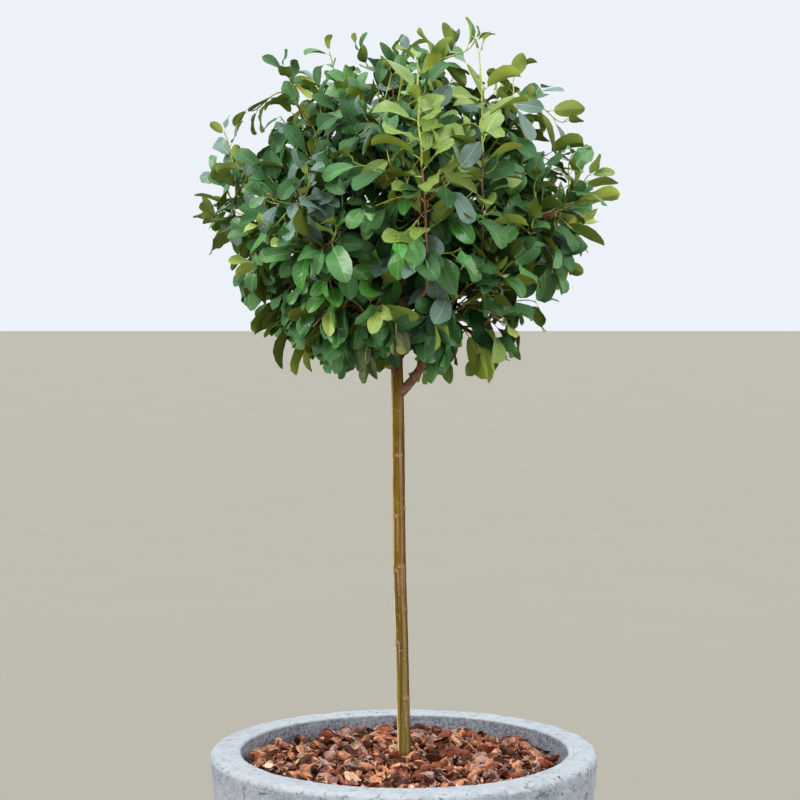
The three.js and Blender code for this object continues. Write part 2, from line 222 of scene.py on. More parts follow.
class Finish(Tree):
    """A material under construction: its node tree, and short ways to add to it."""

    def __init__(self, name):
        self.material = bpy.data.materials.new(name)
        self.material.use_nodes = True
        super().__init__(self.material.node_tree)
        self.shader = self.nodes["Principled BSDF"]
        self.place = self.nodes.new("ShaderNodeTexCoord").outputs["Object"]

    def stretched(self, x, y, z):
        """The place on the piece with its axes scaled, for patterns that are drawn out."""
        node = self.nodes.new("ShaderNodeMapping")
        node.inputs["Scale"].default_value = (x, y, z)
        self.link(self.place, node.inputs["Vector"])
        return node.outputs["Vector"]

    def axes(self):
        node = self.nodes.new("ShaderNodeSeparateXYZ")
        self.link(self.place, node.inputs[0])
        return node.outputs[0], node.outputs[1], node.outputs[2]

    def attribute(self, name):
        node = self.nodes.new("ShaderNodeAttribute")
        node.attribute_name = name
        return node.outputs["Fac"]

    def noise(self, scale, detail=4.0, roughness=0.55, distortion=0.0, place=None):
        node = self.nodes.new("ShaderNodeTexNoise")
        self.link(place or self.place, node.inputs["Vector"])
        for name, value in (
                ("Scale", scale), ("Detail", detail), ("Roughness", roughness), ("Distortion", distortion)):
            node.inputs[name].default_value = value
        return node.outputs["Fac"]

    def spots(self, place, scale, edge, middle, few, fewer):
        """Round spots, 1 in the middle and 0 at the edge, in a share of scattered cells."""
        node = self.nodes.new("ShaderNodeTexVoronoi")
        self.link(place, node.inputs["Vector"])
        node.inputs["Scale"].default_value = scale
        chance = self.nodes.new("ShaderNodeSeparateColor")
        self.link(node.outputs["Color"], chance.inputs["Color"])
        inside = self.fade(node.outputs["Distance"], edge, middle)
        return self.times(inside, self.fade(chance.outputs[0], few, fewer))

    def fade(self, value, low, high, start=0.0, end=1.0):
        """A smooth change from start to end while value goes from low to high."""
        node = self.nodes.new("ShaderNodeMapRange")
        node.interpolation_type = "SMOOTHSTEP"
        self.link(value, node.inputs["Value"])
        for name, limit in (("From Min", low), ("From Max", high), ("To Min", start), ("To Max", end)):
            node.inputs[name].default_value = limit
        return node.outputs["Result"]

    def blend(self, share, a, b):
        """From colour a to colour b as share goes from 0 to 1."""
        node = self.nodes.new("ShaderNodeMix")
        node.data_type = "RGBA"
        self.link(share, node.inputs[0])
        self.link(a, node.inputs[6])
        self.link(b, node.inputs[7])
        return node.outputs[2]

    def coats(self, base, *coats):
        """A colour with others laid over it in turn, each (share, colour)."""
        for share, colour in coats:
            base = self.blend(share, base, colour)
        return base

    def colour(self, source):
        self.link(source, self.shader.inputs["Base Color"])
        return self

    def rough(self, pattern, start, end):
        """Roughness that follows a pattern, from its low places to its high ones."""
        self.link(self.fade(pattern, 0.3, 0.7, start, end), self.shader.inputs["Roughness"])
        return self

    def gloss(self, level):
        self.shader.inputs["Specular IOR Level"].default_value = level
        return self

    def relief(self, *layers):
        """Bumps, each (height, depth in metres), one laid over the other."""
        normal = None
        for height, depth in layers:
            node = self.nodes.new("ShaderNodeBump")
            node.inputs["Distance"].default_value = depth
            self.link(height, node.inputs["Height"])
            if normal is not None:
                self.link(normal, node.inputs["Normal"])
            normal = node.outputs["Normal"]
        self.link(normal, self.shader.inputs["Normal"])
        return self


def concrete():
    f = Finish("concrete")
    x, y, z = f.axes()
    clouds = f.noise(7, 7, 0.66, 0.5)
    mottle = f.noise(24, 8, 0.74, 0.5)
    flakes = f.noise(95, 7, 0.72, 0.4)
    grain = f.noise(260, 4, 0.65)

    def below_rim(start, end):
        """From 0 to 1 between two depths below the rim."""
        return f.fade(z, PLANTER_HEIGHT - start, PLANTER_HEIGHT - end)

    # The rim's top is painted paler in patches, as light from above falls on it, and its edges are scuffed.
    top = below_rim(0.012, 0.003)
    lit_rim_patches = f.fade(f.noise(38, 9, 0.78, 0.5), 0.38, 0.54, 0.35, 1.0)
    scratches = f.noise(58, 9, 0.82, 1.2)
    near_rim = f.times(below_rim(0.022, 0.006), f.fade(scratches, 0.455, 0.385))
    scuffs = f.math("MAXIMUM", near_rim, f.fade(scratches, 0.41, 0.35))
    # Knocks along the outer edge, drawn out round it.
    under_edge = f.times(below_rim(0.036, 0.018), below_rim(0.0005, 0.005))
    knocks = f.fade(f.noise(42, 9, 0.80, 0.9, f.stretched(1, 1, 2.2)), 0.455, 0.425)
    blotches = f.fade(f.noise(30, 9, 0.82, 0.7), 0.42, 0.33, 0, 0.60)

    # The inside is darker: damp above the mulch, and painted shade down the wall.
    radius = f.math("SQRT", f.math("ADD", f.math("POWER", x, 2.0), f.math("POWER", y, 2.0)))
    in_body = f.math("ADD", FOOT_RADIUS - WALL / 2, f.times(z, BODY_TAPER))
    in_collar = f.math("GREATER_THAN", z, COLLAR_FOOT)
    to_collar = f.times(in_collar, f.math("SUBTRACT", MOUTH_RADIUS + 0.003, in_body))
    inside = f.math("LESS_THAN", radius, f.math("ADD", in_body, to_collar))
    crumbs = f.noise(170, 6, 0.75, 0.3)
    damp_and_shade = f.coats(
        f.blend(f.fade(crumbs, 0.38, 0.62), (0.066, 0.070, 0.084), (0.190, 0.202, 0.232)),
        (f.fade(grain, 0.50, 0.38, 0, 0.7), (0.045, 0.044, 0.050)),
        (f.fade(mottle, 0.46, 0.62, 0, 0.35), (0.200, 0.206, 0.226)))

    # Pinholes, round ones and larger ones drawn out upwards.
    pits = f.spots(f.place, 95, 0.19, 0.09, 0.85, 0.87)
    for scale, squash, edge, middle, few, fewer in (
            (46, 0.34, 0.14, 0.07, 0.86, 0.87), (25, 0.36, 0.080, 0.045, 0.88, 0.89)):
        larger = f.spots(f.stretched(1, 1, squash), scale, edge, middle, few, fewer)
        pits = f.math("MAXIMUM", pits, larger)

    # The mould's seam: a hairline up each side.
    across = f.math("SUBTRACT", f.times(x, math.sin(SEAM_BEARING)), f.times(y, math.cos(SEAM_BEARING)))
    waver = f.times(f.math("SUBTRACT", f.noise(25, 2), 0.5), 0.003)
    line = f.fade(f.math("ABSOLUTE", f.math("ADD", across, waver)), 0.0012, 0.0004)
    seam = f.times(line, f.fade(top, 0.4, 0.0))

    f.colour(f.coats(
        f.blend(f.fade(clouds, 0.34, 0.66), (0.215, 0.232, 0.262), (0.268, 0.290, 0.322)),
        (f.fade(mottle, 0.44, 0.62, 0, 0.45), (0.350, 0.376, 0.412)),
        (f.fade(flakes, 0.47, 0.36, 0, 0.55), (0.120, 0.128, 0.144)),
        (f.fade(grain, 0.50, 0.34, 0, 0.40), (0.110, 0.115, 0.122)),
        # painted light on the rim's top
        (f.times(top, lit_rim_patches), (0.306, 0.332, 0.352)),
        (f.times(scuffs, 0.80), (0.105, 0.110, 0.120)),
        (f.times(knocks, under_edge, 0.95), (0.090, 0.094, 0.104)),
        (blotches, (0.135, 0.142, 0.156)),
        # painted shade and damp inside the wall
        (f.times(inside, below_rim(0.001, 0.005)), damp_and_shade),
        (f.times(pits, 0.9), (0.035, 0.036, 0.038)),
        (f.times(seam, 0.65), (0.110, 0.095, 0.080))))
    hollows = f.times(f.math("ADD", pits, f.times(seam, 0.5)), -1.0)
    f.rough(mottle, 0.74, 0.92).gloss(0.35)
    f.relief((flakes, 0.0030), (grain, 0.0010), (hollows, 0.0016))
    return f.material


planter = turned("planter_cast", planter_profile(), PLANTER_SIDES)
weather(planter)
bore_drain_holes(planter)
planter.data.materials.clear()
planter.data.materials.append(concrete())
planter.data.polygons.foreach_set("material_index", [0] * len(planter.data.polygons))
planter.data.set_sharp_from_angle(angle=math.radians(50))
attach(planter, "root")
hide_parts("planter")


# ---------------------------------------------------------------------------- the compost
# Potting compost up to a hand's breadth below the rim, lumpy on top. It carries the mulch and
# holds the root ball, and only shows through the husks and the drain holes.

BED_AT_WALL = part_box("soil")[1].z + 0.009
BED_AT_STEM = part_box("mulch")[1].z - 0.018
COMPOST_GAP = 0.0008  # between the compost and the wall


def bed_height(radius):
    return BED_AT_STEM + (BED_AT_WALL - BED_AT_STEM) * (radius / MOUTH_RADIUS) ** 2


def compost_profile():
    foot, rings = FLOOR + COMPOST_GAP, 22
    edge = bore_radius(BED_AT_WALL) - COMPOST_GAP
    points = [(0, foot), (0.10, foot), (bore_radius(FLOOR) - COMPOST_GAP - 0.001, foot)]
    points.append((bore_radius(COLLAR_FOOT) - COMPOST_GAP, COLLAR_FOOT))
    points += [(edge * (1 - i / rings), bed_height(edge * (1 - i / rings))) for i in range(rings)]
    points.append((0, BED_AT_STEM))
    return points


def compost_finish():
    f = Finish("compost")
    crumbs = f.noise(210, 6, 0.7)
    f.colour(f.blend(f.fade(crumbs, 0.4, 0.62), (0.012, 0.008, 0.006), (0.060, 0.036, 0.024)))
    return f.rough(crumbs, 0.95, 0.8).relief((crumbs, 0.003)).material


compost = turned("compost", compost_profile(), 120)
for vertex in compost.data.vertices:
    if vertex.co.z > BED_AT_WALL - 0.001:
        lump = 0.0022 * noise.noise(vertex.co * 55) + 0.0012 * noise.noise(vertex.co * 130)
        vertex.co.z += lump * min(1.0, (MOUTH_RADIUS - math.hypot(vertex.co.x, vertex.co.y)) / 0.02)
compost.data.materials.append(compost_finish())
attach(compost, "root")
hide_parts("soil")


# ---------------------------------------------------------------------------- the mulch
# Roasted bean husks: curled shells and broken halves, 12 to 38 mm long, poured on the compost two
# or three deep and lying as they fell. Their insides are paler. Each colour of husk is one piece.

HUSK_KINDS = {  # colour outside and inside, how many to a square metre
    "red": ((0.150, 0.036, 0.017), (0.430, 0.180, 0.094), 2550),
    "rust": ((0.350, 0.140, 0.068), (0.700, 0.440, 0.295), 1900),
    "brown": ((0.044, 0.011, 0.004), (0.120, 0.034, 0.014), 2800),
    "mauve": ((0.220, 0.124, 0.100), (0.370, 0.205, 0.140), 1600),
    "straw": ((0.390, 0.270, 0.120), (0.560, 0.410, 0.260), 120),
}
TORN_EDGE = (0.600, 0.350, 0.220)
HUSK_SHAPES = 16
HUSK_WALL = 0.0009
MULCH_DEPTH = 0.017


def outwards(piece):
    """Turns every face of a closed piece outwards."""
    shell = bmesh.new()
    shell.from_mesh(piece.data)
    bmesh.ops.remove_doubles(shell, verts=shell.verts, dist=1e-7)
    bmesh.ops.recalc_face_normals(shell, faces=shell.faces)
    shell.to_mesh(piece.data)
    shell.free()


def mark(mesh, name, kind, domain, values):
    """Gives a mesh an attribute."""
    mesh.attributes.new(name, kind, domain).data.foreach_set("value", values)


def husk_shape(name, rng):
    """A piece of a pod's shell: part of an egg-shaped wall, torn along its sides and at one end."""
    rows, columns = 6, 4
    length, width = rng.uniform(0.019, 0.035), rng.uniform(0.011, 0.0185)
    sweep = rng.choice([0.85, 1.15, 1.5, 2.5]) * rng.uniform(0.9, 1.1)
    torn_end, bend, flat = rng.uniform(0.45, 0.97), rng.uniform(-0.10, 0.25), rng.uniform(0.55, 1.0)
    sheets = [[], []]
    for i, u in enumerate(np.linspace(-0.97, torn_end, rows + 1)):
        radius = width / 2 * (1 - u * u) ** 0.5 * (1 + rng.normal(0, 0.05))
        reach = sweep * (1 + rng.normal(0, 0.13))
        torn = rng.normal(0, 0.13, columns + 1) * (i / rows) ** 3
        for j, v in enumerate(np.linspace(-1, 1, columns + 1)):
            dent = 1 + rng.normal(0, 0.08)
            for side, sheet in enumerate(sheets):
                inner = max(0.3, 1 - side * HUSK_WALL / radius)
                height = radius * math.cos(v * reach) * inner * dent - 0.3 * width
                sheet.append((
                    length / 2 * (u + torn[j]), radius * math.sin(v * reach) * inner,
                    height * flat - bend * length * u * u))
    count, wide = len(sheets[0]), columns + 1
    faces, sides = [], []
    for i in range(rows):
        for j in range(columns):
            a = i * wide + j
            quad = (a, a + wide, a + wide + 1, a + 1)
            faces += [quad, tuple(count + k for k in reversed(quad))]
            sides += [0, 1]
    border = [(i * wide, (i + 1) * wide) for i in range(rows)]
    border += [(rows * wide + j, rows * wide + j + 1) for j in range(columns)]
    border += [((i + 1) * wide + columns, i * wide + columns) for i in range(rows)]
    border += [(j + 1, j) for j in range(columns)]
    faces += [(b, a, count + a, count + b) for a, b in border]
    # Fresh torn edges are pale; the rest has darkened to the colour of the outside.
    fresh = rng.random(len(border)) < 0.30
    fresh[rows:rows + columns] = rng.random() < 0.75
    sides += np.where(fresh, 2, 0).tolist()
    husk = mesh_object(name, sheets[0] + sheets[1], faces)
    mark(husk.data, "side", "INT", "FACE", sides)
    outwards(husk)
    return husk


def shape_collection(name, make, count, seed):
    """Shapes that are set out many times, kept out of the scene themselves."""
    shapes = bpy.data.collections.new(f"{name}_shapes")
    rng = np.random.default_rng(seed)
    for i in range(count):
        shape = make(f"{name}_{i:02d}", rng)
        bpy.context.scene.collection.objects.unlink(shape)
        shapes.objects.link(shape)
    return shapes


class Rule(Tree):
    """A Geometry Nodes tree under construction, with named inputs, used by one modifier."""

    def __init__(self, name):
        self.tree = bpy.data.node_groups.new(name, "GeometryNodeTree")
        super().__init__(self.tree)
        self.tree.interface.new_socket("Geometry", in_out="OUTPUT", socket_type="NodeSocketGeometry")
        self.values = {}
        self.start = self.nodes.new("NodeGroupInput")
        self.end = self.nodes.new("NodeGroupOutput")
        self.carrier = self.input("Geometry", "Geometry", None)

    def input(self, name, kind, value):
        socket = self.tree.interface.new_socket(name, in_out="INPUT", socket_type="NodeSocket" + kind)
        if value is not None:
            self.values[socket.identifier] = value
        return self.start.outputs[name]

    def node(self, kind, settings=None, **sources):
        """Adds a node, with its settings and what feeds its inputs, and gives its first output."""
        node = self.nodes.new(kind)
        for name, value in (settings or {}).items():
            setattr(node, name, value)
        for name, source in sources.items():
            name = name.replace("_", " ")
            self.link(source, next(s for s in node.inputs if s.name == name and s.enabled))
        return next(s for s in node.outputs if s.enabled)

    def named(self, name, kind="FLOAT"):
        return self.node("GeometryNodeInputNamedAttribute", {"data_type": kind}, Name=name)

    def random(self, low, high, seed, kind="FLOAT"):
        return self.node("FunctionNodeRandomValue", {"data_type": kind}, Min=low, Max=high, Seed=seed)

    def set_out(self, points, shapes, which, turn, size):
        """Puts one of the shapes on each point, as real geometry."""
        source = self.node(
            "GeometryNodeCollectionInfo", Collection=shapes, Separate_Children=True, Reset_Children=True)
        placed = self.node(
            "GeometryNodeInstanceOnPoints", Points=points, Instance=source, Pick_Instance=True,
            Instance_Index=which, Rotation=turn, Scale=size)
        return self.node("GeometryNodeRealizeInstances", Geometry=placed)

    def painted(self, geometry, finishes):
        """Gives each side of a shape, numbered by its faces' side attribute, a finish of its own."""
        for number, (label, finish) in enumerate(finishes.items()):
            chosen = self.node(
                "FunctionNodeCompare", {"data_type": "INT", "operation": "EQUAL"},
                A=self.named("side", "INT"), B=number)
            geometry = self.node(
                "GeometryNodeSetMaterial", Geometry=geometry, Selection=chosen,
                Material=self.input(label, "Material", finish))
        return geometry

    def grow(self, name, carrier, geometry):
        """Ends the rule, runs it on the carrier and puts the plain mesh that it makes in the scene."""
        self.link(geometry, self.end.inputs[0])
        modifier = carrier.modifiers.new(self.tree.name, "NODES")
        modifier.node_group = self.tree
        for identifier, value in self.values.items():
            modifier[identifier] = value
        carrier.update_tag()
        bpy.context.view_layer.update()
        depsgraph = bpy.context.evaluated_depsgraph_get()
        mesh = bpy.data.meshes.new_from_object(carrier.evaluated_get(depsgraph), depsgraph=depsgraph)
        carrier.modifiers.remove(modifier)
        return in_scene(name, mesh)


def husk_finish(name, colour):
    f = Finish(f"husk_{name}")
    skin = f.noise(420, 4, 0.6)
    stains = f.fade(f.noise(85, 5, 0.66, 0.8), 0.36, 0.64)
    f.colour(f.blend(stains, tuple(0.42 * c for c in colour), tuple(min(1.0, 1.45 * c) for c in colour)))
    return f.rough(skin, 0.36, 0.60).gloss(0.14).relief((skin, 0.0005)).material


def pour_husks(ground, kind, density, seed, shapes, finishes):
    rule = Rule(f"husks_{kind}")
    amount = rule.input("Husks per square metre", "Float", float(density))
    chance = rule.input("Seed", "Int", seed)
    depth = rule.input("Depth of the layer", "Float", MULCH_DEPTH)
    husks = rule.input("Husk shapes", "Collection", shapes)
    points = rule.node(
        "GeometryNodeDistributePointsOnFaces", {"distribute_method": "RANDOM"},
        Mesh=rule.carrier, Density=amount, Seed=chance)
    lift = rule.times(rule.random(0.0, 1.0, chance), depth)
    raised = rule.node(
        "GeometryNodeSetPosition", Geometry=points, Offset=rule.node("ShaderNodeCombineXYZ", Z=lift))
    tumbled = rule.random((-2.6, -0.65, 0.0), (2.6, 0.65, 6.28), chance, "FLOAT_VECTOR")
    turn = rule.node("FunctionNodeEulerToRotation", Euler=tumbled)
    which = rule.random(0, HUSK_SHAPES - 1, chance, "INT")
    poured = rule.set_out(raised, husks, which, turn, rule.random(0.66, 1.10, chance))
    return rule.grow(f"husks_{kind}", ground, rule.painted(poured, finishes))


def mulch_ground():
    """The face that husks are poured on: the compost's top, clear of the wall and the stem."""
    rings, sides = 12, 72
    radii = np.linspace(0.014, MOUTH_RADIUS - 0.0145, rings)
    vertices = [(r * math.cos(a), r * math.sin(a), bed_height(r)) for r in radii for a in bearings(sides)]
    faces = [(a, d, c, b) for a, b, c, d in wall_faces(rings, sides)]
    return mesh_object("mulch_ground", vertices, faces)


ground = mulch_ground()
husk_shapes = shape_collection("husk", husk_shape, HUSK_SHAPES, 11)
torn_finish = husk_finish("torn", TORN_EDGE)
for seed, (kind, (outside, inside, density)) in enumerate(HUSK_KINDS.items(), 3):
    piece = pour_husks(ground, kind, density, seed, husk_shapes, {
        "Outside": husk_finish(f"{kind}_outside", outside),
        "Inside": husk_finish(f"{kind}_inside", inside), "Torn edge": torn_finish})
    piece.data.polygons.foreach_set("use_smooth", [True] * len(piece.data.polygons))
    piece.data.set_sharp_from_angle(angle=math.radians(55))
    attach(piece, "root")
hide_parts("mulch")
bpy.data.objects.remove(ground)


# ---------------------------------------------------------------------------- the stem
# A clear stem of smooth olive-brown bark, grown straight against a cane that is gone. A ring and
# a small scar show where each old leaf or side shoot was rubbed off, and short corky dots break
# the bark. It leans a little to the left.

STEM_FOOT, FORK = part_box("stem")[0].z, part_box("stem")[1].z
STEM_RADIUS, STEM_TAPER = 0.0096, 0.0007
FLARE, FLARE_HEIGHT = 0.0034, 0.015
STEM_SIDES, STEM_STEP = 44, 0.0015
RIB_LENGTH = 0.085
SCARS = [  # height of each scar, and the bearing in degrees that it faces
    (0.676, 302), (0.759, 218), (0.807, 348), (0.872, 284), (0.866, 228), (0.947, 231), (0.958, 342),
    (1.036, 268), (0.645, 130), (0.722, 85), (0.838, 112), (0.915, 60), (0.998, 140), (1.078, 95)]
# pale is a painted highlight down the edge that faces the key light, shaded is painted shade down the far
# edge, flushed is a red flush in the bark, and pale_behind is a pale band at the back.
BANDS = {  # colours that run up the bark: the bearing and half width of each, in degrees
    "pale": (209, 14), "flushed": (303, 13), "shaded": (349, 21), "pale_behind": (96, 24)}


def stem_middle(z):
    """The middle of the stem at a height: the middle of the frame's stem there."""
    near = stem_places[np.abs(stem_places[:, 2] - z) < 0.020]
    return np.array([near[:, 0].mean(), near[:, 1].mean()])


def away_from(bearing, degrees):
    return math.remainder(bearing - math.radians(degrees), 2 * math.pi)


def bell(distance, width):
    return math.exp(-(distance / width) ** 2)


def scarred(bearing, z):
    """How far the scars lift the bark at a place, how much scar shows, and how much of a rib."""
    lift, scar, rib = 0.0, 0.0, 0.0
    for height, facing in SCARS:
        rise, off = z - height, away_from(bearing, facing)
        # A slight swelling all round, a small raised cushion, and the pit of the scar in it.
        pit = bell(off, 0.28) * bell(rise, 0.0012)
        lift += 0.00022 * bell(rise, 0.006) - 0.0007 * pit
        lift += 0.00105 * bell(off, 0.62) * bell(rise + 0.0005, 0.0030)
        scar = max(scar, 0.62 * bell(off, 0.60) * bell(rise, 0.0030), pit)
        # A low rib runs down from one side of the scar and fades.
        if -RIB_LENGTH < rise < 0:
            ridge = bell(off - 0.45, 0.17) * (1 + rise / RIB_LENGTH)
            lift += 0.00035 * ridge
            rib = max(rib, ridge)
    return lift, scar, rib


def stem_mesh():
    heights = np.arange(STEM_FOOT, FORK, STEM_STEP)
    stations = np.linspace(STEM_FOOT + 0.02, FORK - 0.02, 14)
    middles = np.array([stem_middle(z) for z in stations])
    vertices = []
    patterns = {"scar": [], "trace": [], **{name: [] for name in BANDS}}
    for z in heights:
        x, y = (np.interp(z, stations, middles[:, k]) for k in (0, 1))
        share = (z - STEM_FOOT) / (FORK - STEM_FOOT)
        plain = STEM_RADIUS - STEM_TAPER * share + FLARE * math.exp(-(z - STEM_FOOT) / FLARE_HEIGHT)
        drift = math.degrees(0.5 * noise.noise(Vector((0.3, 0.7, z * 9))))
        for i in range(STEM_SIDES):
            bearing = 2 * math.pi * i / STEM_SIDES
            cos, sin = math.cos(bearing), math.sin(bearing)
            lift, scar, rib = scarred(bearing, z)
            radius = plain + lift
            radius += 0.00024 * noise.noise(Vector((cos * 2.4, sin * 2.4, z * 26)))
            radius += 0.00010 * noise.noise(Vector((cos * 7, sin * 7, z * 160)))
            vertices.append((x + radius * cos, y + radius * sin, z))
            patterns["scar"].append(scar)
            patterns["trace"].append(rib)
            for name, (middle, width) in BANDS.items():
                patterns[name].append(bell(away_from(bearing, middle + drift), math.radians(width)))
    faces = wall_faces(len(heights), STEM_SIDES)
    foot, top = range(STEM_SIDES), range(len(vertices) - STEM_SIDES, len(vertices))
    faces += [tuple(reversed(foot)), tuple(top)]
    piece = mesh_object("stem_bark", vertices, faces)
    for name, values in patterns.items():
        mark(piece.data, name, "FLOAT", "POINT", values)
    return piece


def stem_finish():
    f = Finish("stem_bark")
    z = f.axes()[2]
    streaks = f.noise(170, 5, 0.68, 0.3, f.stretched(1, 1, 0.035))
    fine = f.noise(460, 4, 0.62, 0.2, f.stretched(1, 1, 0.14))
    patches = f.noise(30, 4, 0.6, 0.4, f.stretched(1, 1, 0.35))
    olive = f.blend(f.fade(streaks, 0.38, 0.60), (0.058, 0.042, 0.006), (0.158, 0.116, 0.020))
    # The painted highlight down the lit edge, joined with the pale band at the back.
    pale = f.math("MAXIMUM", f.attribute("pale"), f.attribute("pale_behind"))
    pale = f.times(f.fade(pale, 0.35, 0.80), f.fade(streaks, 0.36, 0.56, 0.45, 1.0))
    flushed = f.fade(f.attribute("flushed"), 0.30, 0.75)
    dots = f.spots(f.stretched(1, 1, 0.6), 330, 0.26, 0.13, 0.80, 0.82)
    scar = f.attribute("scar")
    f.colour(f.coats(
        f.blend(f.fade(streaks, 0.38, 0.60), (0.060, 0.031, 0.002), (0.140, 0.078, 0.004)),
        # Painted light just below the head, brighter ochre where the head's shadow falls, and greener towards
        # the foot.
        (f.fade(z, 1.04, 1.13, 0, 0.50), (0.235, 0.140, 0.006)),
        (f.fade(patches, 0.50, 0.64, 0, 0.55), (0.190, 0.125, 0.010)),
        (f.fade(z, 0.97, 0.68, 0, 0.85), olive),
        # Bands of colour run up the stem: a painted highlight down the lit edge, a pale band at the back, a
        # red flush, and painted shade down the dark side.
        (pale, (0.520, 0.380, 0.190)),
        (f.times(flushed, f.fade(patches, 0.36, 0.58, 0.25, 1.0)), (0.215, 0.115, 0.062)),
        (f.fade(f.attribute("shaded"), 0.25, 0.75, 0, 0.80), (0.042, 0.020, 0.005)),
        (f.fade(fine, 0.54, 0.70, 0, 0.40), (0.036, 0.018, 0.004)),
        # Redder where it enters the head.
        (f.fade(z, 1.165, 1.20, 0, 0.85), (0.120, 0.042, 0.022)),
        (f.fade(f.attribute("trace"), 0.25, 0.7, 0, 0.75), (0.240, 0.130, 0.085)),
        (f.times(dots, 0.85), (0.42, 0.34, 0.16)),
        (f.fade(scar, 0.16, 0.42, 0, 0.80), (0.262, 0.126, 0.074)),
        (f.fade(scar, 0.64, 0.86, 0, 0.95), (0.030, 0.012, 0.008))))
    f.rough(fine, 0.40, 0.58).gloss(0.12)
    return f.relief((streaks, 0.0006), (fine, 0.0004), (dots, 0.0003)).material


stem_places = np.array([v.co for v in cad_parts["stem"].data.vertices])
stem = stem_mesh()
stem.data.materials.append(stem_finish())
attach(stem, "root")
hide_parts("stem")


# ---------------------------------------------------------------------------- the boughs
# Each bough leaves the stem or another bough along that one's own line, bends over and carries
# on into its mass of leaves. The bark is reddish brown and rough, and a collar swells where a
# bough leaves its parent. The lowest one on the right is the stoutest.

BOUGHS = {  # what it grows from, the mass it feeds, its radius at its foot and at its mass
    "low_right": ("stem", "right", 0.0067, 0.0042),
    "low_front_left": ("stem", "low_front_left", 0.0036, 0.0028),
    "low_back_left": ("stem", "low_back_left", 0.0038, 0.0030),
    "left": ("stem", "left", 0.0052, 0.0038),
    "back": ("stem", "back_right", 0.0048, 0.0036),
    "leader": ("stem", "top", 0.0064, 0.0040),
    "front": ("stem", "front", 0.0042, 0.0032),
    "low_front_right": ("low_right", "low_front_right", 0.0036, 0.0028),
    "low_back_right": ("back", "low_back_right", 0.0034, 0.0027),
    "back_left": ("leader", "back_left", 0.0040, 0.0032),
    "front_left": ("left", "front_left", 0.0038, 0.0030),
    "shoulder_left": ("left", "shoulder_left", 0.0038, 0.0030),
    "shoulder_right": ("low_right", "shoulder_right", 0.0040, 0.0030),
    "shoulder_back": ("leader", "shoulder_back", 0.0038, 0.0030),
    "shoulder_front": ("leader", "shoulder_front", 0.0036, 0.0028),
}
BARK_FINENESS = 340.0


def corners(node):
    return np.array(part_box(node))


def middle_of(node):
    low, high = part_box(node)
    return np.array((low + high) / 2)


mass_corners = np.array([corners(f"mass_{mass}") for _, mass, _, _ in BOUGHS.values()])
head_low, head_high = mass_corners[:, 0].min(axis=0), mass_corners[:, 1].max(axis=0)
HEAD_MIDDLE = (head_low + head_high) / 2
HEAD_HALF = (head_high - head_low) / 2


def unit(vector):
    vector = np.asarray(vector, float)
    return vector / max(1e-9, np.linalg.norm(vector))


def bent(start, leave, end, arrive, steps, pull=0.38):
    """A smooth path from start to end that leaves and arrives along the given directions."""
    reach = np.linalg.norm(end - start)
    a, b = start + unit(leave) * reach * pull, end - unit(arrive) * reach * 0.34
    t = np.linspace(0, 1, steps + 1)[:, None]
    return (1 - t) ** 3 * start + 3 * t * (1 - t) ** 2 * a + 3 * t ** 2 * (1 - t) * b + t ** 3 * end


def bough_path(name):
    """From the corner of the bough's frame box next to its parent to the corner next to its mass."""
    parent, mass, foot_radius, _ = BOUGHS[name]
    low, high = corners(f"bough_{name}")
    goal = middle_of(f"mass_{mass}")
    inset = np.minimum(foot_radius, (high - low) / 2)
    to_high = goal > (low + high) / 2
    start = np.where(to_high, low + inset, high - inset)
    end = np.where(to_high, high - inset * 0.6, low + inset * 0.6)
    if parent == "stem":
        z = low[2] - 0.003
        start = np.array([*stem_middle(min(z, FORK - 0.015)), z])
        line = np.array([0, 0, 1.0])
    else:
        along = bough_paths[parent]
        k = int(np.argmin(np.linalg.norm(along - start, axis=1)))
        k = min(max(k, 1), len(along) - 2)
        start, line = along[k], along[k + 1] - along[k - 1]
    reach = end - start
    leave = 0.05 * unit(line) * np.linalg.norm(reach) + 0.11 * reach + 0.30 * reach * (1, 1, 0)
    return bent(start, leave, end, unit(goal - end) + (0, 0, 0.35), 24, 0.30)


class Limbs:
    """Limbs of one kind, gathered as paths with a radius at each point, then made in one go."""

    def __init__(self):
        self.paths = []

    def add(self, points, radii):
        self.paths.append((np.array(points), np.array(radii)))

    def curves(self, name):
        curve = bpy.data.curves.new(f"{name}_paths", "CURVE")
        curve.dimensions = "3D"
        for points, radii in self.paths:
            spline = curve.splines.new("POLY")
            spline.points.add(len(points) - 1)
            spline.points.foreach_set("co", np.hstack([points, np.ones((len(points), 1))]).ravel())
            spline.points.foreach_set("radius", radii)
        return in_scene(f"{name}_paths", curve)

    def make(self, name, material, sides, spacing, depth):
        carrier = self.curves(name)
        rule = Rule(name)
        count = rule.input("Sides", "Int", sides)
        between = rule.input("Ring spacing", "Float", spacing)
        deep = rule.input("Depth of the bark's relief", "Float", depth)
        scale = rule.input("Fineness of the relief", "Float", BARK_FINENESS)
        finish = rule.input("Material", "Material", material)
        even = rule.node("GeometryNodeResampleCurve", {"mode": "LENGTH"}, Curve=rule.carrier, Length=between)
        tube = rule.node(
            "GeometryNodeCurveToMesh", Curve=even, Fill_Caps=True,
            Profile_Curve=rule.node("GeometryNodeCurvePrimitiveCircle", Resolution=count, Radius=1.0),
            Scale=rule.node("GeometryNodeInputRadius"))
        lumps = rule.node("ShaderNodeTexNoise", Scale=scale, Detail=3.0)
        push = rule.times(rule.math("SUBTRACT", lumps, 0.5), deep)
        offset = rule.node(
            "ShaderNodeVectorMath", {"operation": "SCALE"}, Vector=rule.node("GeometryNodeInputNormal"),
            Scale=push)
        barked = rule.node("GeometryNodeSetPosition", Geometry=tube, Offset=offset)
        smooth = rule.node("GeometryNodeSetShadeSmooth", Geometry=barked)
        real = rule.node("GeometryNodeRealizeInstances", Geometry=smooth)
        piece = rule.grow(name, carrier, rule.node("GeometryNodeSetMaterial", Geometry=real, Material=finish))
        bpy.data.objects.remove(carrier)
        return piece


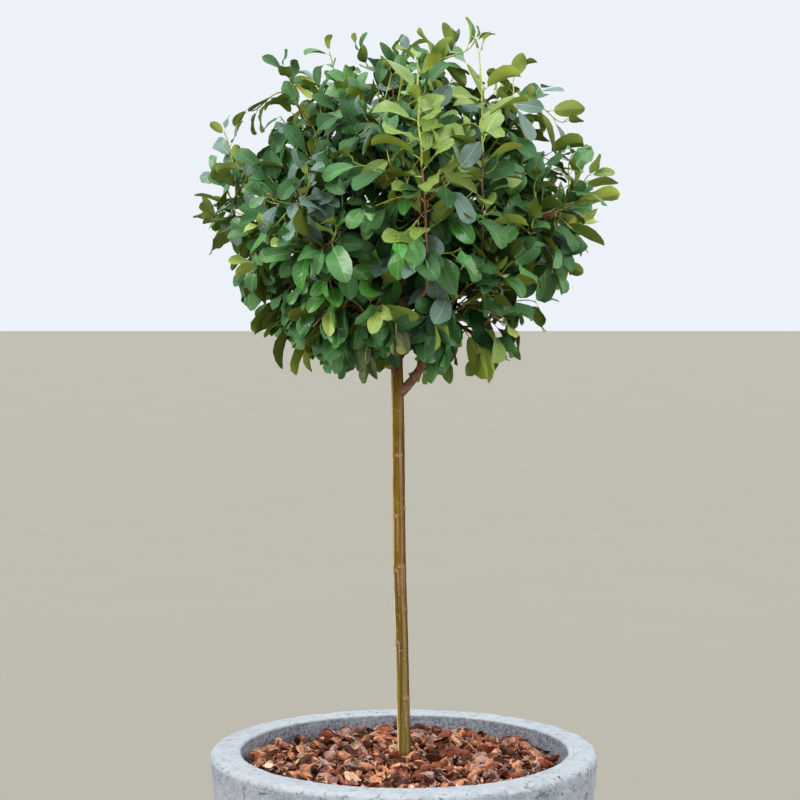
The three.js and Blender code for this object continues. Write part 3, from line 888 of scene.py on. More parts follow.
def bough_finish():
    f = Finish("bough_bark")
    cork = f.noise(260, 6, 0.7, 0.6)
    f.colour(f.coats(
        f.blend(f.fade(f.noise(120, 4, 0.6, 0.4), 0.38, 0.62), (0.118, 0.048, 0.028), (0.290, 0.140, 0.084)),
        (f.fade(cork, 0.54, 0.70, 0, 0.7), (0.360, 0.200, 0.130)),
        (f.fade(cork, 0.42, 0.30, 0, 0.7), (0.045, 0.018, 0.012))))
    return f.rough(cork, 0.62, 0.82).relief((cork, 0.0011)).material


bough_paths = {}
bough_limbs = Limbs()
for name, (_, _, foot_radius, end_radius) in BOUGHS.items():
    path = bough_path(name)
    bough_paths[name] = path
    share = np.linspace(0, 1, len(path))
    collar = 0.35 * foot_radius * np.exp(-share / 0.05)
    bough_limbs.add(path, foot_radius + (end_radius - foot_radius) * share + collar)
boughs = bough_limbs.make("boughs", bough_finish(), 20, 0.0022, 0.0022)
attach(boughs, "root")
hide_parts(*[f"bough_{bough}" for bough in BOUGHS])


# ---------------------------------------------------------------------------- twigs and shoots
# Inside its mass each bough divides again and again. The tips stand evenly over the outside of
# the head, the upper ones upright and the side ones leaning out. A twig is reddish brown until
# its last hand's breadth, where this year's shoot is still green.

SHOOT_SPACING, INNER_SPACING = 0.051, 0.034
TIP_INSET = 0.034
SHADED_DEPTH = (0.052, 0.17)  # between which depths the short shaded shoots end
PLACES_TRIED, INNER_PLACES_TRIED = 1500, 700
BRANCH_STEPS = 12
HIDDEN_STEPS = 8  # of a standing or hanging shoot, before it shows

# Places in the head, from -1 at its left, front and foot to 1 at its right, back and top.
STANDING_SHOOTS = [  # long upright shoots near the front: where each comes out of the leaves, and its tip
    ((0.12, -0.72, -0.42), (0.07, -0.88, 0.72)),
    ((0.38, -0.58, -0.30), (0.36, -0.74, 0.78)),
]
HANGING_SHOOTS = [  # short ones that hang out of the foot of the head beside the stem, in the same way
    ((-0.24, -0.36, -0.70), (-0.30, -0.46, -0.85)),
    ((-0.14, -0.36, -0.70), (-0.18, -0.46, -0.90)),
    ((-0.03, -0.44, -0.62), (-0.03, -0.56, -0.74)),
]
LEADING_TIPS = [  # shoots that stand out of the ball
    (-0.36, -0.10, 0.86), (-0.21, 0.17, 0.90), (0.02, -0.10, 0.86), (0.27, 0.10, 0.92),
    (0.36, -0.20, 0.92), (0.58, 0.10, 0.78), (0.82, -0.10, 0.48), (0.93, -0.07, 0.16),
    (0.91, 0.14, -0.12), (-0.78, 0.10, 0.56), (-0.88, -0.14, 0.40), (-0.93, 0.07, 0.16),
    (-0.93, -0.10, -0.08), (-0.58, -0.30, 0.74), (0.66, -0.42, 0.62), (0.10, 0.42, 0.88),
    (-0.46, 0.46, 0.76), (0.52, 0.50, 0.74), (-0.80, 0.46, 0.30), (0.80, 0.48, 0.22),
]


def mass_tree(mass):
    solid = bmesh.new()
    solid.from_mesh(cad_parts[f"mass_{mass}"].data)
    bmesh.ops.remove_doubles(solid, verts=solid.verts, dist=1e-6)
    bmesh.ops.triangulate(solid, faces=solid.faces)
    tree = BVHTree.FromBMesh(solid)
    solid.free()
    return tree


def in_head(place):
    return HEAD_MIDDLE + HEAD_HALF * 0.95 * np.array(place)


def head_height(place):
    """-1 at the foot of the head, 1 at its top."""
    return (place[2] - HEAD_MIDDLE[2]) / HEAD_HALF[2]


def depth_in_head(place):
    """How far a place lies below the outside of the head, measured towards the head's middle."""
    outward = Vector(unit(place - HEAD_MIDDLE))
    start = Vector(HEAD_MIDDLE) + outward
    nearest = min((tree.ray_cast(start, -outward)[3] or 9.0 for tree in mass_trees.values()))
    return (Vector(place) - start).length - nearest


def clear_of(place, others, distance):
    return len(others) == 0 or np.linalg.norm(np.array(others) - place, axis=1).min() > distance


def outer_places(mass):
    """Places spread evenly over the side of a mass that faces away from the middle of the head."""
    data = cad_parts[f"mass_{mass}"].data
    data.calc_loop_triangles()
    triangles = np.array([[data.vertices[i].co for i in t.vertices] for t in data.loop_triangles])
    area = np.cross(triangles[:, 1] - triangles[:, 0], triangles[:, 2] - triangles[:, 0])
    size = np.linalg.norm(area, axis=1)
    facing = area / np.maximum(size, 1e-12)[:, None]
    outward = triangles.mean(axis=1) - HEAD_MIDDLE
    outward = outward / np.linalg.norm(outward, axis=1)[:, None]
    weight = size * ((facing * outward).sum(axis=1) > 0.35)
    picks = triangles[rng.choice(len(weight), PLACES_TRIED, p=weight / weight.sum())]
    r1, r2 = np.sqrt(rng.random(PLACES_TRIED))[:, None], rng.random(PLACES_TRIED)[:, None]
    kept = []
    for place in (1 - r1) * picks[:, 0] + r1 * (1 - r2) * picks[:, 1] + r1 * r2 * picks[:, 2]:
        if clear_of(place, all_tips + kept, SHOOT_SPACING * (1 + 0.36 * max(0.0, head_height(place)))):
            kept.append(place)
    return kept


def inner_places(mass):
    """Places well inside the head, for the short shaded shoots."""
    nearest, deepest = SHADED_DEPTH
    kept = []
    for place in rng.uniform(*corners(f"mass_{mass}"), (INNER_PLACES_TRIED, 3)):
        surface, normal, _, distance = mass_trees[mass].find_nearest(Vector(place))
        within = (Vector(place) - surface).dot(normal) < 0 and distance > 0.008
        if within and clear_of(place, kept, INNER_SPACING) and nearest < depth_in_head(place) < deepest:
            kept.append(place)
    return kept


def shoot_direction(tip):
    """Which way a shoot points at its tip: outwards, and more upright the higher it stands."""
    outward = unit((tip - HEAD_MIDDLE) * (1, 1, 0.7))
    height = head_height(tip)
    upward = 0.9 if height > -0.15 else 0.9 + 1.9 * (height + 0.15)
    return unit(0.75 * outward + np.array([0, 0, max(upward, -0.35)]) + rng.normal(0, 0.20, 3))


class Wood:
    """The skeleton inside one mass: points, each with its parent and the shoots it carries."""

    def __init__(self, path):
        self.points = list(path)
        self.parents = [-1] + list(range(len(path) - 1))
        self.open = [True] * len(path)
        self.load = [0] * len(path)

    def direction(self, k):
        if k == 0:
            return unit(self.points[1] - self.points[0])
        return unit(self.points[k] - self.points[self.parents[k]])

    def price(self, k, tip):
        """What it costs to reach a tip from a point: more if far, sharply bent or turned inwards."""
        gap = tip - self.points[k]
        length = np.linalg.norm(gap)
        turn = self.direction(k) @ gap / max(1e-6, length)
        inward = np.linalg.norm(self.points[k] - HEAD_MIDDLE) - np.linalg.norm(tip - HEAD_MIDDLE)
        return length * (1.6 - 0.75 * turn) + (0.05 if length < 0.06 else 0) + 2.5 * max(0.0, inward)

    def reach(self, tip, arrival):
        """Grows a new branch to a tip from the best place on the skeleton."""
        best = min((k for k, free in enumerate(self.open) if free), key=lambda k: self.price(k, tip))
        start = self.points[best]
        leave = self.direction(best) + 0.8 * unit(tip - start)
        branch = [best]
        for i, point in enumerate(bent(start, leave, tip, arrival, BRANCH_STEPS)[1:], 1):
            self.points.append(point)
            self.parents.append(branch[-1])
            self.open.append(0.10 < i / BRANCH_STEPS < 0.60)
            self.load.append(0)
            branch.append(len(self.points) - 1)
        index = branch[-1]
        while index >= 0:
            self.load[index] += 1
            index = self.parents[index]
        return branch

    def green_end(self, branch):
        """The end of a branch that carries nothing else, up to a hand's breadth, from its tip down."""
        run, length = [branch[-1]], 0.0
        limit = rng.uniform(0.05, 0.14)
        while self.load[self.parents[run[-1]]] == 1 and length < limit:
            run.append(self.parents[run[-1]])
            length += np.linalg.norm(self.points[run[-1]] - self.points[run[-2]])
        return run

    def chains(self, green):
        """The brown wood as unbranched chains, each from its parent outwards, without the green nodes."""
        found, used = [], set(green)
        for k in range(len(self.points) - 1, 0, -1):
            if k in used:
                continue
            chain = [k]
            while self.parents[chain[-1]] >= 0 and chain[-1] not in used:
                used.add(chain[-1])
                chain.append(self.parents[chain[-1]])
            found.append(chain[::-1])
        return found


def wood_radius(load):
    return 0.00120 * np.maximum(load, 0.7) ** 0.45


def branch_out(mass, bough, thickest):
    """Grows the wood inside a mass from the end of its bough, with its outer and inner shoots."""
    middle = middle_of(f"mass_{mass}")
    outward = middle - HEAD_MIDDLE
    wood = Wood(bent(bough[-1], bough[-1] - bough[-2], middle + 0.25 * outward, outward, 7))
    tips = sorted(mass_tips[mass], key=lambda tip: np.linalg.norm(tip - bough[-1]))
    branches = [(wood.reach(tip, shoot_direction(tip)), "outer") for tip in tips]
    branches += [(wood.reach(place, shoot_direction(place)), "inner") for place in inner_places(mass)]
    points, greens = np.array(wood.points), set()
    for branch, role in branches:
        shoots.append((points[branch], role))
        run = wood.green_end(branch)
        greens.update(run)
        run = [wood.parents[run[-1]], *run[::-1]]
        green.add(points[run], wood_radius(1) - 0.0004 * np.linspace(0, 1, len(run)))
    for chain in wood.chains(greens):
        load = np.array([wood.load[k] for k in chain])
        load[0] = load[1]
        twigs.add(points[chain], np.minimum(wood_radius(load), thickest))


def lone_shoot(path, role, radii, brown_steps):
    """A shoot on its own stalk: brown for its first steps, then green."""
    shoots.append((path, role))
    twigs.add(path[:brown_steps + 1], radii[:brown_steps + 1])
    green.add(path[brown_steps:], radii[brown_steps:])


rng = np.random.default_rng(61)
mass_trees = {mass: mass_tree(mass) for _, mass, _, _ in BOUGHS.values()}
all_tips = [in_head(tip) for tip in LEADING_TIPS]
mass_tips = {mass: [] for mass in mass_trees}
for tip in all_tips:
    nearest = min(mass_trees, key=lambda mass: mass_trees[mass].find_nearest(tip)[3])
    mass_tips[nearest].append(tip)
for mass in mass_trees:
    for place in outer_places(mass):
        all_tips.append(place)
        height = head_height(place)
        inset = TIP_INSET + 0.010 * max(0.0, -height - 0.3) + 0.040 * max(0.0, height - 0.3)
        inset += rng.uniform(-0.014, 0.026) * (1 + max(0.0, height))
        mass_tips[mass].append(place + inset * unit(HEAD_MIDDLE - place))

twigs, green = Limbs(), Limbs()
shoots = []
for name, (_, mass, _, end_radius) in BOUGHS.items():
    branch_out(mass, bough_paths[name], end_radius)

standing_lines = []
front_wood = [point for name in ("front", "leader", "low_right") for point in bough_paths[name]]
for foot, tip in STANDING_SHOOTS:
    foot, tip = in_head(foot), in_head(tip)
    above = [2 * max(0.0, point[2] - foot[2] + 0.03) for point in front_wood]
    start = front_wood[np.argmin(np.linalg.norm(front_wood - foot, axis=1) + above)]
    rise = unit((tip - foot) * (0.4, 1.6, 1))
    hidden = bent(start, foot - start, foot, rise, HIDDEN_STEPS)[:-1]
    path = np.vstack([hidden, bent(foot, rise, tip, (rng.normal(0, 0.15), 0.1, 1), 18)])
    path[HIDDEN_STEPS:-1] += rng.normal(0, 0.0008, (len(path) - HIDDEN_STEPS - 1, 3)) * (1, 1, 0)
    standing_lines.append(path[HIDDEN_STEPS:])
    lone_shoot(path, "standing", 0.0021 - 0.0010 * np.linspace(0, 1, len(path)) ** 1.2, 17)
for foot, tip in HANGING_SHOOTS:
    foot, tip = in_head(foot), in_head(tip)
    start = min(bough_paths["low_front_left"], key=lambda point: np.linalg.norm(point - foot))
    hidden = bent(start, (tip - start) * (1, 1, 0), foot, tip - foot, HIDDEN_STEPS)[:-1]
    path = np.vstack([hidden, bent(foot, tip - foot, tip, (0, 0, -1), 6)])
    lone_shoot(path, "hanging", 0.0016 - 0.0008 * np.linspace(0, 1, len(path)), 7)


def shoot_finish(name, dark, light):
    f = Finish(name)
    skin = f.noise(230, 4, 0.6)
    f.colour(f.blend(f.fade(skin, 0.35, 0.65), dark, light))
    return f.rough(skin, 0.45, 0.6).relief((skin, 0.0003)).material


twig_bark = shoot_finish("twig_bark", (0.105, 0.040, 0.022), (0.270, 0.110, 0.050))
shoot_skin = shoot_finish("shoot_skin", (0.230, 0.270, 0.035), (0.370, 0.420, 0.080))
for piece, slot in (
        (twigs.make("twigs", twig_bark, 7, 0.008, 0.0006), "bough_bark"),
        (green.make("green_shoots", shoot_skin, 6, 0.008, 0.0002), "young_leaves")):
    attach(piece, "root")


# ---------------------------------------------------------------------------- the leaves
# Evergreen leaves, broadest about the middle, with a short tip, a sunken pale midrib and a
# pale stalk. The upper side is waxy and dark, the underside matt and yellow-green and painted
# brighter for the light that shines through it. They stand in a spiral round each shoot, turn
# their faces up, and hang lower down in the head.

LEAF_SHAPES = 16
LEAF_ROWS = (0.07, 0.22, 0.42, 0.63, 0.82, 0.94)  # where points lie across a leaf 1 long
UPPER_ROW, LOWER_ROW = (0, 1, 2, 3, 4, 5), (0, 6, 7, 8, 9, 5)  # a row's ten points, margins shared
BLADE = 0.0085  # thickness
RIB_HALF_WIDTH = 0.0115
RIB_SUNK = 0.007
STALK_LENGTH = 0.21
STALK = ((-0.01, -0.014, 0.020), (0.10, -0.004, 0.015), (0.28, -0.010, 0.004))  # along, height, radius

# The undersides are painted brighter, for the light that shines through a leaf.
LEAF_KINDS = {  # upper side, underside, rib, stalk
    # inner and shade are darkened copies of the leaf, painted shade for leaves deep in the head and low down.
    "inner": ((0.012, 0.046, 0.011), (0.045, 0.076, 0.013), (0.028, 0.068, 0.016), (0.070, 0.105, 0.020)),
    "shade": ((0.034, 0.101, 0.030), (0.136, 0.188, 0.026), (0.095, 0.180, 0.052), (0.170, 0.230, 0.044)),
    # blue carries a painted reflection of the sky on its upper side.
    "blue": ((0.094, 0.156, 0.122), (0.250, 0.312, 0.062), (0.245, 0.335, 0.190), (0.300, 0.370, 0.110)),
    "deep": ((0.062, 0.167, 0.047), (0.224, 0.294, 0.039), (0.170, 0.310, 0.105), (0.270, 0.345, 0.072)),
    "fresh": ((0.050, 0.184, 0.028), (0.200, 0.275, 0.030), (0.160, 0.340, 0.055), (0.290, 0.385, 0.060)),
    "light": ((0.136, 0.208, 0.036), (0.290, 0.350, 0.055), (0.280, 0.375, 0.092), (0.365, 0.440, 0.086)),
    "young": ((0.210, 0.285, 0.058), (0.325, 0.385, 0.072), (0.330, 0.420, 0.105), (0.385, 0.460, 0.110)),
    "old": ((0.066, 0.092, 0.026), (0.130, 0.145, 0.040), (0.150, 0.160, 0.056), (0.190, 0.175, 0.064)),
}
LEAF_WAX = {  # how rough the upper side is, and its gloss
    "inner": (0.55, 0.10), "shade": (0.42, 0.18), "blue": (0.34, 0.34), "deep": (0.27, 0.34),
    "fresh": (0.22, 0.42), "light": (0.33, 0.32), "young": (0.38, 0.30), "old": (0.48, 0.25),
}

LEAFY_LENGTH = {"outer": 0.15, "inner": 0.10, "standing": 0.25, "hanging": 0.08}  # from a shoot's tip down
GOLDEN_TURN = 2.4  # radians, round the shoot from one leaf to the next
IN_FRONT = np.array([0.0, -3.0, PLANTER_HEIGHT + 0.68])  # where the gaps and the fork are seen from
GAP_CLEARANCE = 0.016
FORK_PLACE = bough_paths["low_right"][3] + np.array([0.004, 0, -0.012])
FORK_CLEARANCE = 0.034


def leaf_width(s, early, late):
    """How wide a leaf is at a share of its length, 1 where it is broadest."""
    peak = early / (early + late)
    return (s ** early * (1 - s) ** late) / (peak ** early * (1 - peak) ** late)


def leaf_blade(rng):
    """The points of a blade, and where each lies on it: along it, and across from -1 to 1."""
    half_width = rng.uniform(0.250, 0.312)
    recurve = math.radians(rng.uniform(-5, 72))
    fold = math.radians(rng.uniform(-2, 34))
    cup = rng.uniform(-0.05, 0.36)
    twist = math.radians(rng.uniform(-32, 32))
    wave, phase = rng.uniform(0.0, 0.10), rng.uniform(0, 6.28)
    early, late = rng.uniform(0.62, 0.90), rng.uniform(0.50, 0.72)

    stations = np.array([0.0, *LEAF_ROWS, 1.0])
    angle = -recurve * stations ** 1.3
    x = STALK_LENGTH + np.concatenate([[0], np.cumsum(np.cos(angle[:-1]) * np.diff(stations))])
    z = np.concatenate([[0], np.cumsum(np.sin(angle[:-1]) * np.diff(stations))])
    points, spots = [(x[0], 0, z[0])], [(0.0, 0.0)]
    for i, s in enumerate(LEAF_ROWS, 1):
        width = half_width * leaf_width(s, early, late)
        rib = RIB_HALF_WIDTH * (1 - 0.7 * s)
        sides = (-width, -0.55 * width, -rib, rib, 0.55 * width, width)
        for j, below in [(j, 0) for j in range(6)] + [(j, BLADE) for j in range(1, 5)]:
            side, on_rib = sides[j], j in (2, 3)
            share = abs(side) / width
            lift = abs(side) * math.sin(fold) - cup * width * share ** 2
            lift += wave * math.sin(8 * s + phase + (2 if side > 0 else 0)) * share ** 1.5
            lift -= RIB_SUNK + 1.3 * below if on_rib else below
            turn, flat = twist * s, side * math.cos(fold)
            across = flat * math.cos(turn) - lift * math.sin(turn)
            up = flat * math.sin(turn) + lift * math.cos(turn)
            points.append((x[i] - math.sin(angle[i]) * up, across, z[i] + math.cos(angle[i]) * up))
            spots.append((s, side / width))
    return points + [(x[-1], 0, z[-1])], spots + [(1.0, 0.0)]


def blade_faces(tip):
    """A blade's faces, and the side each is on: 0 above, 1 below, 2 along the rib."""
    rows = [[1 + 10 * i + j for j in range(10)] for i in range(len(LEAF_ROWS))]
    rows = [[0] * 10, *rows, [tip] * 10]
    faces, sides = [], []
    for a in range(5):
        for near, far in zip(rows, rows[1:]):
            for side, row in enumerate((UPPER_ROW, LOWER_ROW)):
                i, j = row[a], row[a + 1]
                faces.append(tuple(dict.fromkeys((near[i], far[i], far[j], near[j]))))
                sides.append(2 if a == 2 else side)
    return faces, sides


def leaf_stalk(first):
    """A thin three-sided rod, a little bent, that runs in under the blade."""
    points = []
    for along, height, radius in STALK:
        for k in range(3):
            a = math.pi / 2 + k * math.pi * 2 / 3
            points.append((along, radius * math.cos(a), height + radius * math.sin(a)))
    ends = [(first, first + 1, first + 2), (first + 8, first + 7, first + 6)]
    return points, wall_faces(3, 3, first) + ends


def leaf_shape(name, rng):
    """One leaf, 1 long without its stalk: two sheets that meet at the margin, and a stalk."""
    points, spots = leaf_blade(rng)
    tip = len(points) - 1
    faces, sides = blade_faces(tip)
    stalk_points, stalk_faces = leaf_stalk(tip + 1)
    leaf = mesh_object(name, points + stalk_points, faces + stalk_faces)
    mesh = leaf.data
    mark(mesh, "side", "INT", "FACE", sides + [3] * len(stalk_faces))
    along, across = zip(*spots, *[(0.0, 0.0)] * len(stalk_points))
    mark(mesh, "along", "FLOAT", "POINT", along)
    mark(mesh, "across", "FLOAT", "POINT", across)
    outwards(leaf)
    margin = {0, tip} | {1 + i * 10 + j for i in range(len(LEAF_ROWS)) for j in (0, 5)}
    mark(mesh, "sharp_edge", "BOOLEAN", "EDGE", [set(edge.vertices) <= margin for edge in mesh.edges])
    return leaf


def leaf_upper(kind, colour, roughness, gloss):
    f = Finish(f"leaf_{kind}_upper")
    wax = f.noise(75, 4, 0.6)
    f.colour(colour).gloss(gloss).rough(wax, roughness - 0.05, roughness + 0.09)
    # Side veins, sunk a little, that bend towards the tip.
    outward = f.math("ABSOLUTE", f.attribute("across"))
    turns = f.math("SUBTRACT", f.times(f.attribute("along"), 44.0), f.times(outward, 9.0))
    veins = f.times(f.math("SINE", turns), f.fade(outward, 1.0, 0.7))
    return f.relief((veins, 0.00007), (f.noise(420, 3, 0.6), 0.00022)).material


def leaf_under(kind, colour):
    f = Finish(f"leaf_{kind}_under")
    f.colour(colour).gloss(0.2).rough(f.noise(90, 3, 0.6), 0.58, 0.72)
    return f.relief((f.noise(520, 3, 0.6), 0.00025)).material


def leaf_rib(kind, part, colour):
    f = Finish(f"leaf_{kind}_{part}")
    return f.colour(colour).gloss(0.4).rough(f.noise(300, 3, 0.6), 0.42, 0.6).material


def spray_kind(tip, rng):
    """A spray's colour: blue-green, a painted reflection of the sky, on top and on the left; fresh green low
    in front; dark, painted shade, underneath.
    """
    height = head_height(tip)
    across, deep, _ = (tip - HEAD_MIDDLE) / HEAD_HALF
    left = max(0.0, -across) * max(0.0, min(1.0, height + 0.4))
    middle = bell(across - 0.18, 0.38) * max(0.0, min(1.0, height + 0.30))
    low_middle = max(0.0, -height - 0.3) * bell(across, 0.45)
    weights = {
        # painted sky reflection on top and on the left
        "blue": 0.22 + 1.1 * max(0.0, height - 0.1) + 4.4 * left,
        "deep": 0.85,
        # painted shade: darker leaves low in the head, most of all in its middle
        "shade": 0.30 + 0.5 * max(0.0, -height) + 3.0 * low_middle,
        "fresh": 0.02 + 3.2 * max(0.0, 0.1 - height) * max(0.3, -deep),
        "light": 0.12 + middle + 0.35 * max(0.0, across),
        "young": 0.03 + 0.12 * max(0.0, height),
        "old": 0.7 * max(0.0, -height - 0.75),
    }
    odds = np.array(list(weights.values()))
    return list(weights)[rng.choice(len(odds), p=odds / odds.sum())]


def shoot_kind(tip, role, rng):
    """The kind of leaf that most of a shoot carries."""
    dull = rng.choice(["old", "shade", "deep"])
    if role == "outer":
        return spray_kind(tip, rng)
    if role == "inner":
        # Shoots deep in the head carry the darkest leaves, painted shade.
        return "shade" if depth_in_head(tip) < 0.075 else "inner"
    return "light" if role == "standing" else dull


def sky_gaps():
    """Where sky shows through the head from in front, on the upright plane through its middle."""
    step, reach = 0.008, 8
    across = np.arange(head_low[0], head_high[0], step)
    heights = np.arange(head_low[2], head_high[2], step)
    eye = Vector(IN_FRONT)
    covered = np.zeros((len(heights), len(across)), bool)
    for i, z in enumerate(heights):
        for j, x in enumerate(across):
            way = Vector((x, HEAD_MIDDLE[1], z)) - eye
            covered[i, j] = any(tree.ray_cast(eye, way)[0] is not None for tree in mass_trees.values())
    found = []
    for i, j in np.argwhere(~covered):
        beside = covered[i, max(0, j - reach):j].any() and covered[i, j:j + reach].any()
        if beside and covered[max(0, i - reach):i, j].any() and covered[i:i + reach, j].any():
            found.append((across[j], heights[i]))
    return np.array(found)


def in_sky_gap(place):
    """True for a place that would close a gap, seen from in front."""
    share = (HEAD_MIDDLE[1] - IN_FRONT[1]) / (place[1] - IN_FRONT[1])
    flat = IN_FRONT + (place - IN_FRONT) * share
    return np.linalg.norm(gaps - flat[[0, 2]], axis=1).min() < GAP_CLEARANCE


def strays(place):
    """True for a place well outside every mass. Low on the right the head is cut in closer."""
    limit = 0.016 if place[0] > 0.07 and head_height(place) < -0.45 else 0.045
    return min(tree.find_nearest(Vector(place))[3] for tree in mass_trees.values()) > limit


def covers_shoot(place):
    """True in front of a standing shoot or of the fork, which both show from the front."""
    x, y, z = place
    if math.hypot(x - FORK_PLACE[0], z - FORK_PLACE[2]) < FORK_CLEARANCE and y < 0.05:
        return True
    for line in standing_lines:
        beside = abs(x - np.interp(z, line[:, 2], line[:, 0])) < 0.011
        before = y < np.interp(z, line[:, 2], line[:, 1]) + 0.012
        if line[0][2] + 0.045 < z < line[-1][2] and beside and before:
            return True
    return False


def quaternion(forward, up):
    """The turn that lays +X along forward and keeps +Z as near up as it can."""
    x = unit(forward)
    z = unit(up - x * (up @ x))
    y = np.cross(z, x)
    return list(Matrix(np.array([x, y, z]).T.tolist()).to_quaternion())


class Spray:
    """The leaves of one shoot, from its tip down."""

    def __init__(self, number, path, role):
        self.rng = np.random.default_rng((83, number))
        self.path, self.role = path, role
        steps = np.linalg.norm(np.diff(path, axis=0), axis=1)
        self.length = np.concatenate([[0], np.cumsum(steps)])
        self.height = head_height(path[-1])
        self.low = max(0.0, -0.05 - self.height)
        self.kind = shoot_kind(path[-1], role, self.rng)
        self.vigour = self.rng.uniform(0.050, 0.063) * (0.86 if role == "hanging" else 1.0)
        self.spin = self.rng.uniform(0, 6.28)
        leaning = (path[-1] - HEAD_MIDDLE)[0] / HEAD_HALF[0]
        self.turned_out = 0.5 - 0.5 * leaning  # 1 on the left of the head, 0 on its right
        odds = [0.45 + 0.25 * leaning, 0.27, 0.28 - 0.25 * leaning]
        hang = self.rng.choice([0.0, 0.4, 0.95], p=odds)
        self.hang = {"standing": 0, "hanging": 0.5}.get(role, hang)

    def place(self, at):
        return np.array([np.interp(at, self.length, self.path[:, k]) for k in range(3)])

    def pointing(self, line, share):
        """Which way the next leaf points: a turn further round the shoot, and drooping."""
        side = unit(np.cross(line, (0.3, 0.2, 1.0)))
        other = np.cross(line, side)
        self.spin += GOLDEN_TURN + self.rng.normal(0, 0.25)
        spread = math.radians(24 + 38 * share + self.rng.normal(0, 13))
        sideways = math.cos(self.spin) * side + math.sin(self.spin) * other
        droop = self.low * self.rng.uniform(-0.4, 0.8) + self.rng.uniform(0, 0.25) + self.hang
        return unit(math.cos(spread) * line + math.sin(spread) * sideways - np.array([0, 0, droop]))

    def facing(self, line, place):
        """Which way a leaf turns its upper side: outwards on the left, elsewhere more to its shoot's tip."""
        outward = unit((place - HEAD_MIDDLE) * (1, 1, 0.4))
        if self.role == "standing":
            return line + 0.2 * outward + self.rng.normal(0, 0.2, 3)
        upright = max(0.0, self.height - 0.1) * (1 - 0.7 * self.turned_out)
        up = (0.40 - 0.3 * self.turned_out + upright) * line + np.array([0, 0, 0.60])
        return up + (0.40 + 0.55 * self.turned_out) * outward + self.rng.normal(0, 0.38 + 0.25 * self.low, 3)

    def leaf_size(self, share):
        """How long a leaf is: the last ones are still growing, and those low in the head are longer."""
        grown = 0.78 if self.role == "inner" else 0.50 + 0.50 * min(1.0, share * 1.8 + 0.1)
        lower = 1.0 + 0.18 * max(0.0, -self.height) - 0.12 * max(0.0, self.height)
        return self.vigour * self.rng.uniform(0.82, 1.18) * grown * lower

    def fits(self, middle):
        if in_sky_gap(middle):
            return False
        return self.role == "standing" or not (strays(middle) or covers_shoot(middle))

    def leaf_kind(self, newest):
        young = newest and self.rng.random() < 0.35
        kind = "young" if young and self.kind in ("light", "fresh") else self.kind
        return "deep" if self.role == "outer" and self.rng.random() < 0.12 else kind

    def grow(self):
        end = self.length[-1]
        at, number = end, 0
        while at > end - min(LEAFY_LENGTH[self.role], end * 0.95):
            place = self.place(at)
            line = unit(self.place(min(at + 0.004, end)) - self.place(at - 0.004))
            share = min(1.0, (end - at) / 0.09)
            forward = self.pointing(line, share)
            up = self.facing(line, place)
            size = self.leaf_size(share)
            if self.fits(place + forward * size * 0.6):
                kind = self.leaf_kind(number < 2)
                leaves[kind].append((place, quaternion(forward, up), size, self.rng.integers(LEAF_SHAPES)))
            number += 1
            at -= 0.004 if number < 2 else self.rng.uniform(0.015, 0.023) - 0.007 * min(1.0, share * 1.4)


def set_leaves(kind, rows, shapes, finishes):
    places, turns, lengths, which = zip(*rows)
    carrier = mesh_object(f"{kind}_points", places, [])
    mark(carrier.data, "turn", "QUATERNION", "POINT", np.array(turns, np.float32).ravel())
    mark(carrier.data, "length", "FLOAT", "POINT", np.array(lengths, np.float32))
    mark(carrier.data, "shape", "INT", "POINT", np.array(which, np.int32))
    rule = Rule(f"leaves_{kind}")
    source = rule.input("Leaf shapes", "Collection", shapes)
    which, turn = rule.named("shape", "INT"), rule.named("turn", "QUATERNION")
    placed = rule.set_out(rule.carrier, source, which, turn, rule.named("length"))
    piece = rule.grow(f"leaves_{kind}", carrier, rule.painted(placed, finishes))
    bpy.data.objects.remove(carrier)
    return piece


gaps = sky_gaps()
leaves = {kind: [] for kind in LEAF_KINDS}
for number, (path, role) in enumerate(shoots):
    Spray(number, path, role).grow()
leaf_shapes = shape_collection("leaf", leaf_shape, LEAF_SHAPES, 5)
for kind, (upper, under, rib, stalk) in LEAF_KINDS.items():
    piece = set_leaves(kind, leaves[kind], leaf_shapes, {
        "Upper side": leaf_upper(kind, upper, *LEAF_WAX[kind]), "Underside": leaf_under(kind, under),
        "Rib": leaf_rib(kind, "rib", rib), "Stalk": leaf_rib(kind, "stalk", stalk)})
    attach(piece, "root")
    if kind == "deep":
        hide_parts(*[f"mass_{mass}" for mass in mass_trees])


# ---------------------------------------------------------------------------- the studio
# A pale floor, a broad soft light high on the left, weaker ones overhead and on the right, and a
# pale sky all round. The camera stands three metres in front, level with the lower leaves.

FLOOR_REACH = 60.0
WARM, COOL = (1.0, 0.985, 0.96), (0.88, 0.94, 1.0)


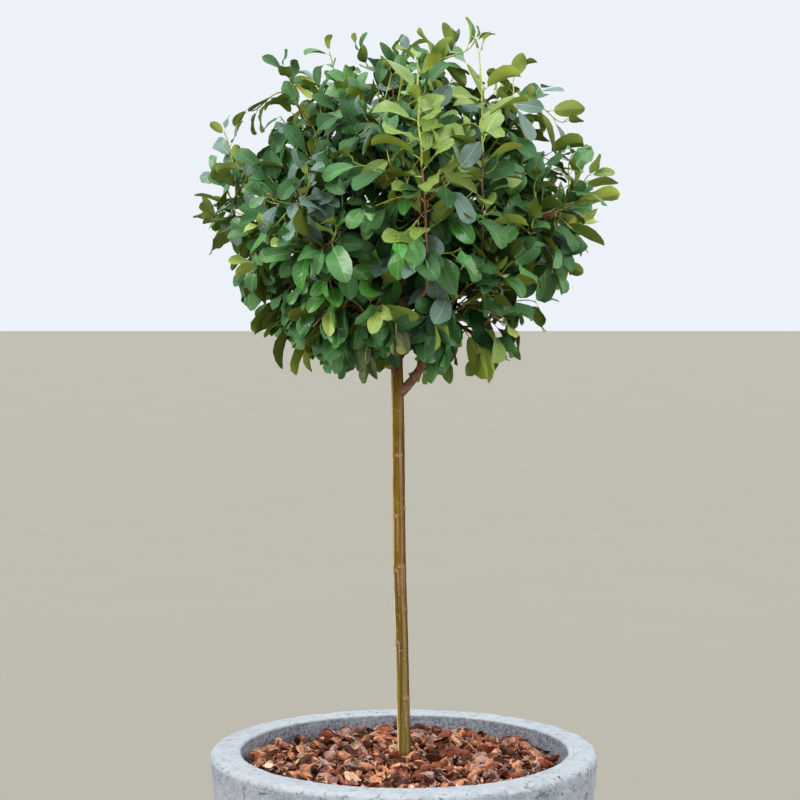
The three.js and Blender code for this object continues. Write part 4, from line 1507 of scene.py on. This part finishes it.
def studio_floor():
    square = [(x * FLOOR_REACH, y * FLOOR_REACH, 0) for x, y in ((-1, -1), (1, -1), (1, 1), (-1, 1))]
    floor = mesh_object("floor", square, [(0, 1, 2, 3)])
    f = Finish("floor")
    f.colour((0.193, 0.178, 0.145)).gloss(0.2).rough(f.noise(1.4, 4, 0.6), 0.80, 0.90)
    floor.data.materials.append(f.material)


def soft_light(name, place, spread, strength, colour):
    """A broad even light on the head from one direction, as from a large softbox far away."""
    lamp = bpy.data.lights.new(name, "SUN")
    lamp.angle = math.radians(spread)
    lamp.energy = strength
    lamp.color = colour
    holder = in_scene(name, lamp)
    holder.location = place
    holder.rotation_euler = (Vector(HEAD_MIDDLE) - Vector(place)).to_track_quat("-Z", "Y").to_euler()


def pale_sky(at_horizon, overhead):
    """A plain pale sky all round, brighter overhead."""
    world = bpy.data.worlds.new("sky")
    world.use_nodes = True
    nodes, links = world.node_tree.nodes, world.node_tree.links
    direction = nodes.new("ShaderNodeSeparateXYZ")
    links.new(nodes.new("ShaderNodeTexCoord").outputs["Generated"], direction.inputs[0])
    climb = nodes.new("ShaderNodeMapRange")
    for name, value in (("From Min", 0.20), ("From Max", 0.95), ("To Min", at_horizon), ("To Max", overhead)):
        climb.inputs[name].default_value = value
    links.new(direction.outputs["Z"], climb.inputs["Value"])
    background = nodes["Background"]
    background.inputs["Color"].default_value = (0.86, 0.90, 0.95, 1)
    links.new(climb.outputs[0], background.inputs["Strength"])
    bpy.context.scene.world = world


def stand_camera(place, below_level, lens):
    """A camera that looks towards +Y and a little down; angle in degrees, lens for a 36 mm sensor."""
    camera = bpy.data.cameras.new("camera")
    camera.sensor_width = 36
    camera.lens = lens
    camera.clip_end = 200
    holder = in_scene("camera", camera)
    holder.location = place
    holder.rotation_euler = (math.radians(90 - below_level), 0, 0)
    bpy.context.scene.camera = holder


studio_floor()
soft_light("key", (-2.8, -1.7, 3.3), 36, 3.5, WARM)
soft_light("sky_light", (0.3, -0.3, 4.2), 60, 1.2, COOL)
soft_light("fill", (2.8, -2.0, 2.6), 45, 2.3, WARM)
pale_sky(0.99, 2.0)
stand_camera((-0.006, -3.0, PLANTER_HEIGHT + 0.680), 3.1, 91.8)
bpy.context.scene.view_settings.view_transform = "Standard"
